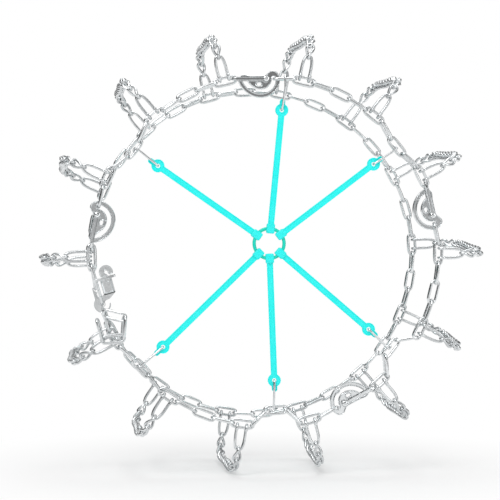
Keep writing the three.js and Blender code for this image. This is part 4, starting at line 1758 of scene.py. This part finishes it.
@dataclass
class Studio:
    """The pale floor, the soft lights, the white room and the camera."""

    camera_azimuth: float = -5.4
    camera_height: float = -0.7
    camera_distance: float = 2.986
    view: float = 18.4
    yaw: float = 0.3526
    pitch: float = 0.063
    shadow_reach: tuple[float, float] = (0.30, 0.85)
    front_low: float = 0.44
    front_high: float = 0.04
    sides: float = 0.12
    back: float = 0.22
    overhead: float = 0.85
    back_turn: tuple[float, float] = (0.35, 0.85)
    sides_turn: tuple[float, float] = (-0.8, -0.3)
    front_turn: tuple[float, float] = (0.06, 0.16)
    overhead_turn: tuple[float, float] = (0.35, 0.75)
    diffuse_light: float = 0.5
    floor_size: float = 14.0
    floor_grey: float = 0.93
    clip_end: float = 60.0
    lamps: tuple[Lamp, ...] = (
        Lamp("key_lamp", (-1.6, -2.4, 2.2), 1.5, 46.0),
        Lamp("fill_lamp", (2.2, -2.0, 0.9), 1.8, 20.0),
        Lamp("top_lamp", (0.2, 0.6, 2.6), 1.6, 22.0),
    )

    def _floor(self, level: float) -> None:
        """Lays the floor, which keeps the shadow near the net and is white further out.

        Args:
            level: The floor's height in metres.
        """
        mesh = bmesh.new()
        bmesh.ops.create_grid(
            mesh, x_segments=1, y_segments=1, size=self.floor_size,
            matrix=Matrix.Translation((0.0, 0.0, level)),
        )
        data = bpy.data.meshes.new("studio_floor")
        mesh.to_mesh(data)
        mesh.free()
        floor = bpy.data.objects.new("studio_floor", data)
        bpy.context.scene.collection.objects.link(floor)
        made = bpy.data.materials.new("studio_floor")
        made.use_nodes = True
        board = Board(made.node_tree)
        distance = board.node(
            "ShaderNodeVectorMath", {"operation": "LENGTH"}, {0: board.place()}, "Value"
        )
        share = board.ramp(distance, self.shadow_reach)
        white = (share * (board.ray("Camera") + board.ray("Glossy")).clamped()).clamped()
        grey = self.floor_grey
        matt = board.node("ShaderNodeBsdfDiffuse", {}, {"Color": (grey, grey, grey, 1.0)})
        glow = board.node("ShaderNodeEmission", {}, {"Color": (1.0, 1.0, 1.0, 1.0), "Strength": 1.0})
        mixed = board.node("ShaderNodeMixShader", {}, {0: white, 1: matt, 2: glow})
        output = board.tree.nodes.new("ShaderNodeOutputMaterial")
        board.tree.links.new(mixed.socket, output.inputs["Surface"])
        data.materials.append(made)
        floor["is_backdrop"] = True

    def _room(self) -> None:
        """Paints the room, which the camera sees white.

        In the metal's reflections it is dim behind the net, bright low in front and overhead, and
        dark between them, which shapes the wires and plates.
        """
        world = bpy.data.worlds.new("studio_room")
        bpy.context.scene.world = world
        world.use_nodes = True
        board = Board(world.node_tree)
        where = board.node("ShaderNodeTexCoord", {}, {}, "Generated")
        ways = board.node("ShaderNodeSeparateXYZ", {}, {"Vector": where}, "Y")
        height = board.node("ShaderNodeSeparateXYZ", {}, {"Vector": where}, "Z")
        behind = board.ramp(ways, self.back_turn, 0.0, self.back)
        facing = board.ramp(ways, self.sides_turn, 1.0, self.sides)
        front = board.ramp(height, self.front_turn, self.front_low, self.front_high)
        above = board.ramp(height, self.overhead_turn, 0.0, self.overhead)
        glossy = (behind + front * facing + above).clamped()
        mirrored = board.ray("Glossy")
        plain = (board.ray("Camera") + board.ray("Transmission")).clamped()
        scattered = 1.0 - (plain + mirrored).clamped()
        strength = plain + mirrored * glossy + scattered * self.diffuse_light
        white = (1.0, 1.0, 1.0, 1.0)
        light = board.node("ShaderNodeBackground", {}, {"Color": white, "Strength": strength})
        output = board.tree.nodes.new("ShaderNodeOutputWorld")
        board.tree.links.new(light.socket, output.inputs["Surface"])

    def _camera(self) -> None:
        """Sets the camera at the photograph's angle."""
        azimuth, height = math.radians(self.camera_azimuth), math.radians(self.camera_height)
        level = math.cos(height)
        way = Vector((math.sin(azimuth) * level, -math.cos(azimuth) * level, math.sin(height)))
        place = way * self.camera_distance
        data = bpy.data.cameras.new("photo_camera")
        data.sensor_fit = "HORIZONTAL"
        data.angle = math.radians(self.view)
        data.clip_end = self.clip_end
        camera = bpy.data.objects.new("photo_camera", data)
        facing = (-place).to_track_quat("-Z", "Y").to_matrix().to_4x4()
        yaw = Matrix.Rotation(math.radians(self.yaw), 4, "Y")
        aside = yaw @ Matrix.Rotation(math.radians(self.pitch), 4, "X")
        camera.matrix_world = Matrix.Translation(place) @ facing @ aside
        bpy.context.scene.collection.objects.link(camera)
        bpy.context.scene.camera = camera

    def build(self, floor_level: float) -> None:
        """Builds the studio.

        Args:
            floor_level: The floor's height in metres.
        """
        self._floor(floor_level)
        self._room()
        for lamp in self.lamps:
            lamp.hang()
        self._camera()
        scene = bpy.context.scene
        scene.view_settings.view_transform = "Standard"


def main() -> None:
    """Builds the net and its studio."""
    logging.basicConfig(level=logging.INFO, format="%(name)s: %(message)s")
    plan = Plan()
    side_chains = SideChains(plan)
    side_chains.build_outer()
    side_chains.build_inner()
    CrossChains(plan).build()
    TighteningCams(plan).build()
    LeverFastener(plan).build()
    InnerHook(plan).build()
    Tensioner(plan).build()
    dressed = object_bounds()
    Studio().build(min(CAD_BOX[0][2], dressed[0][2]))


if __name__ == "__main__":
    main()
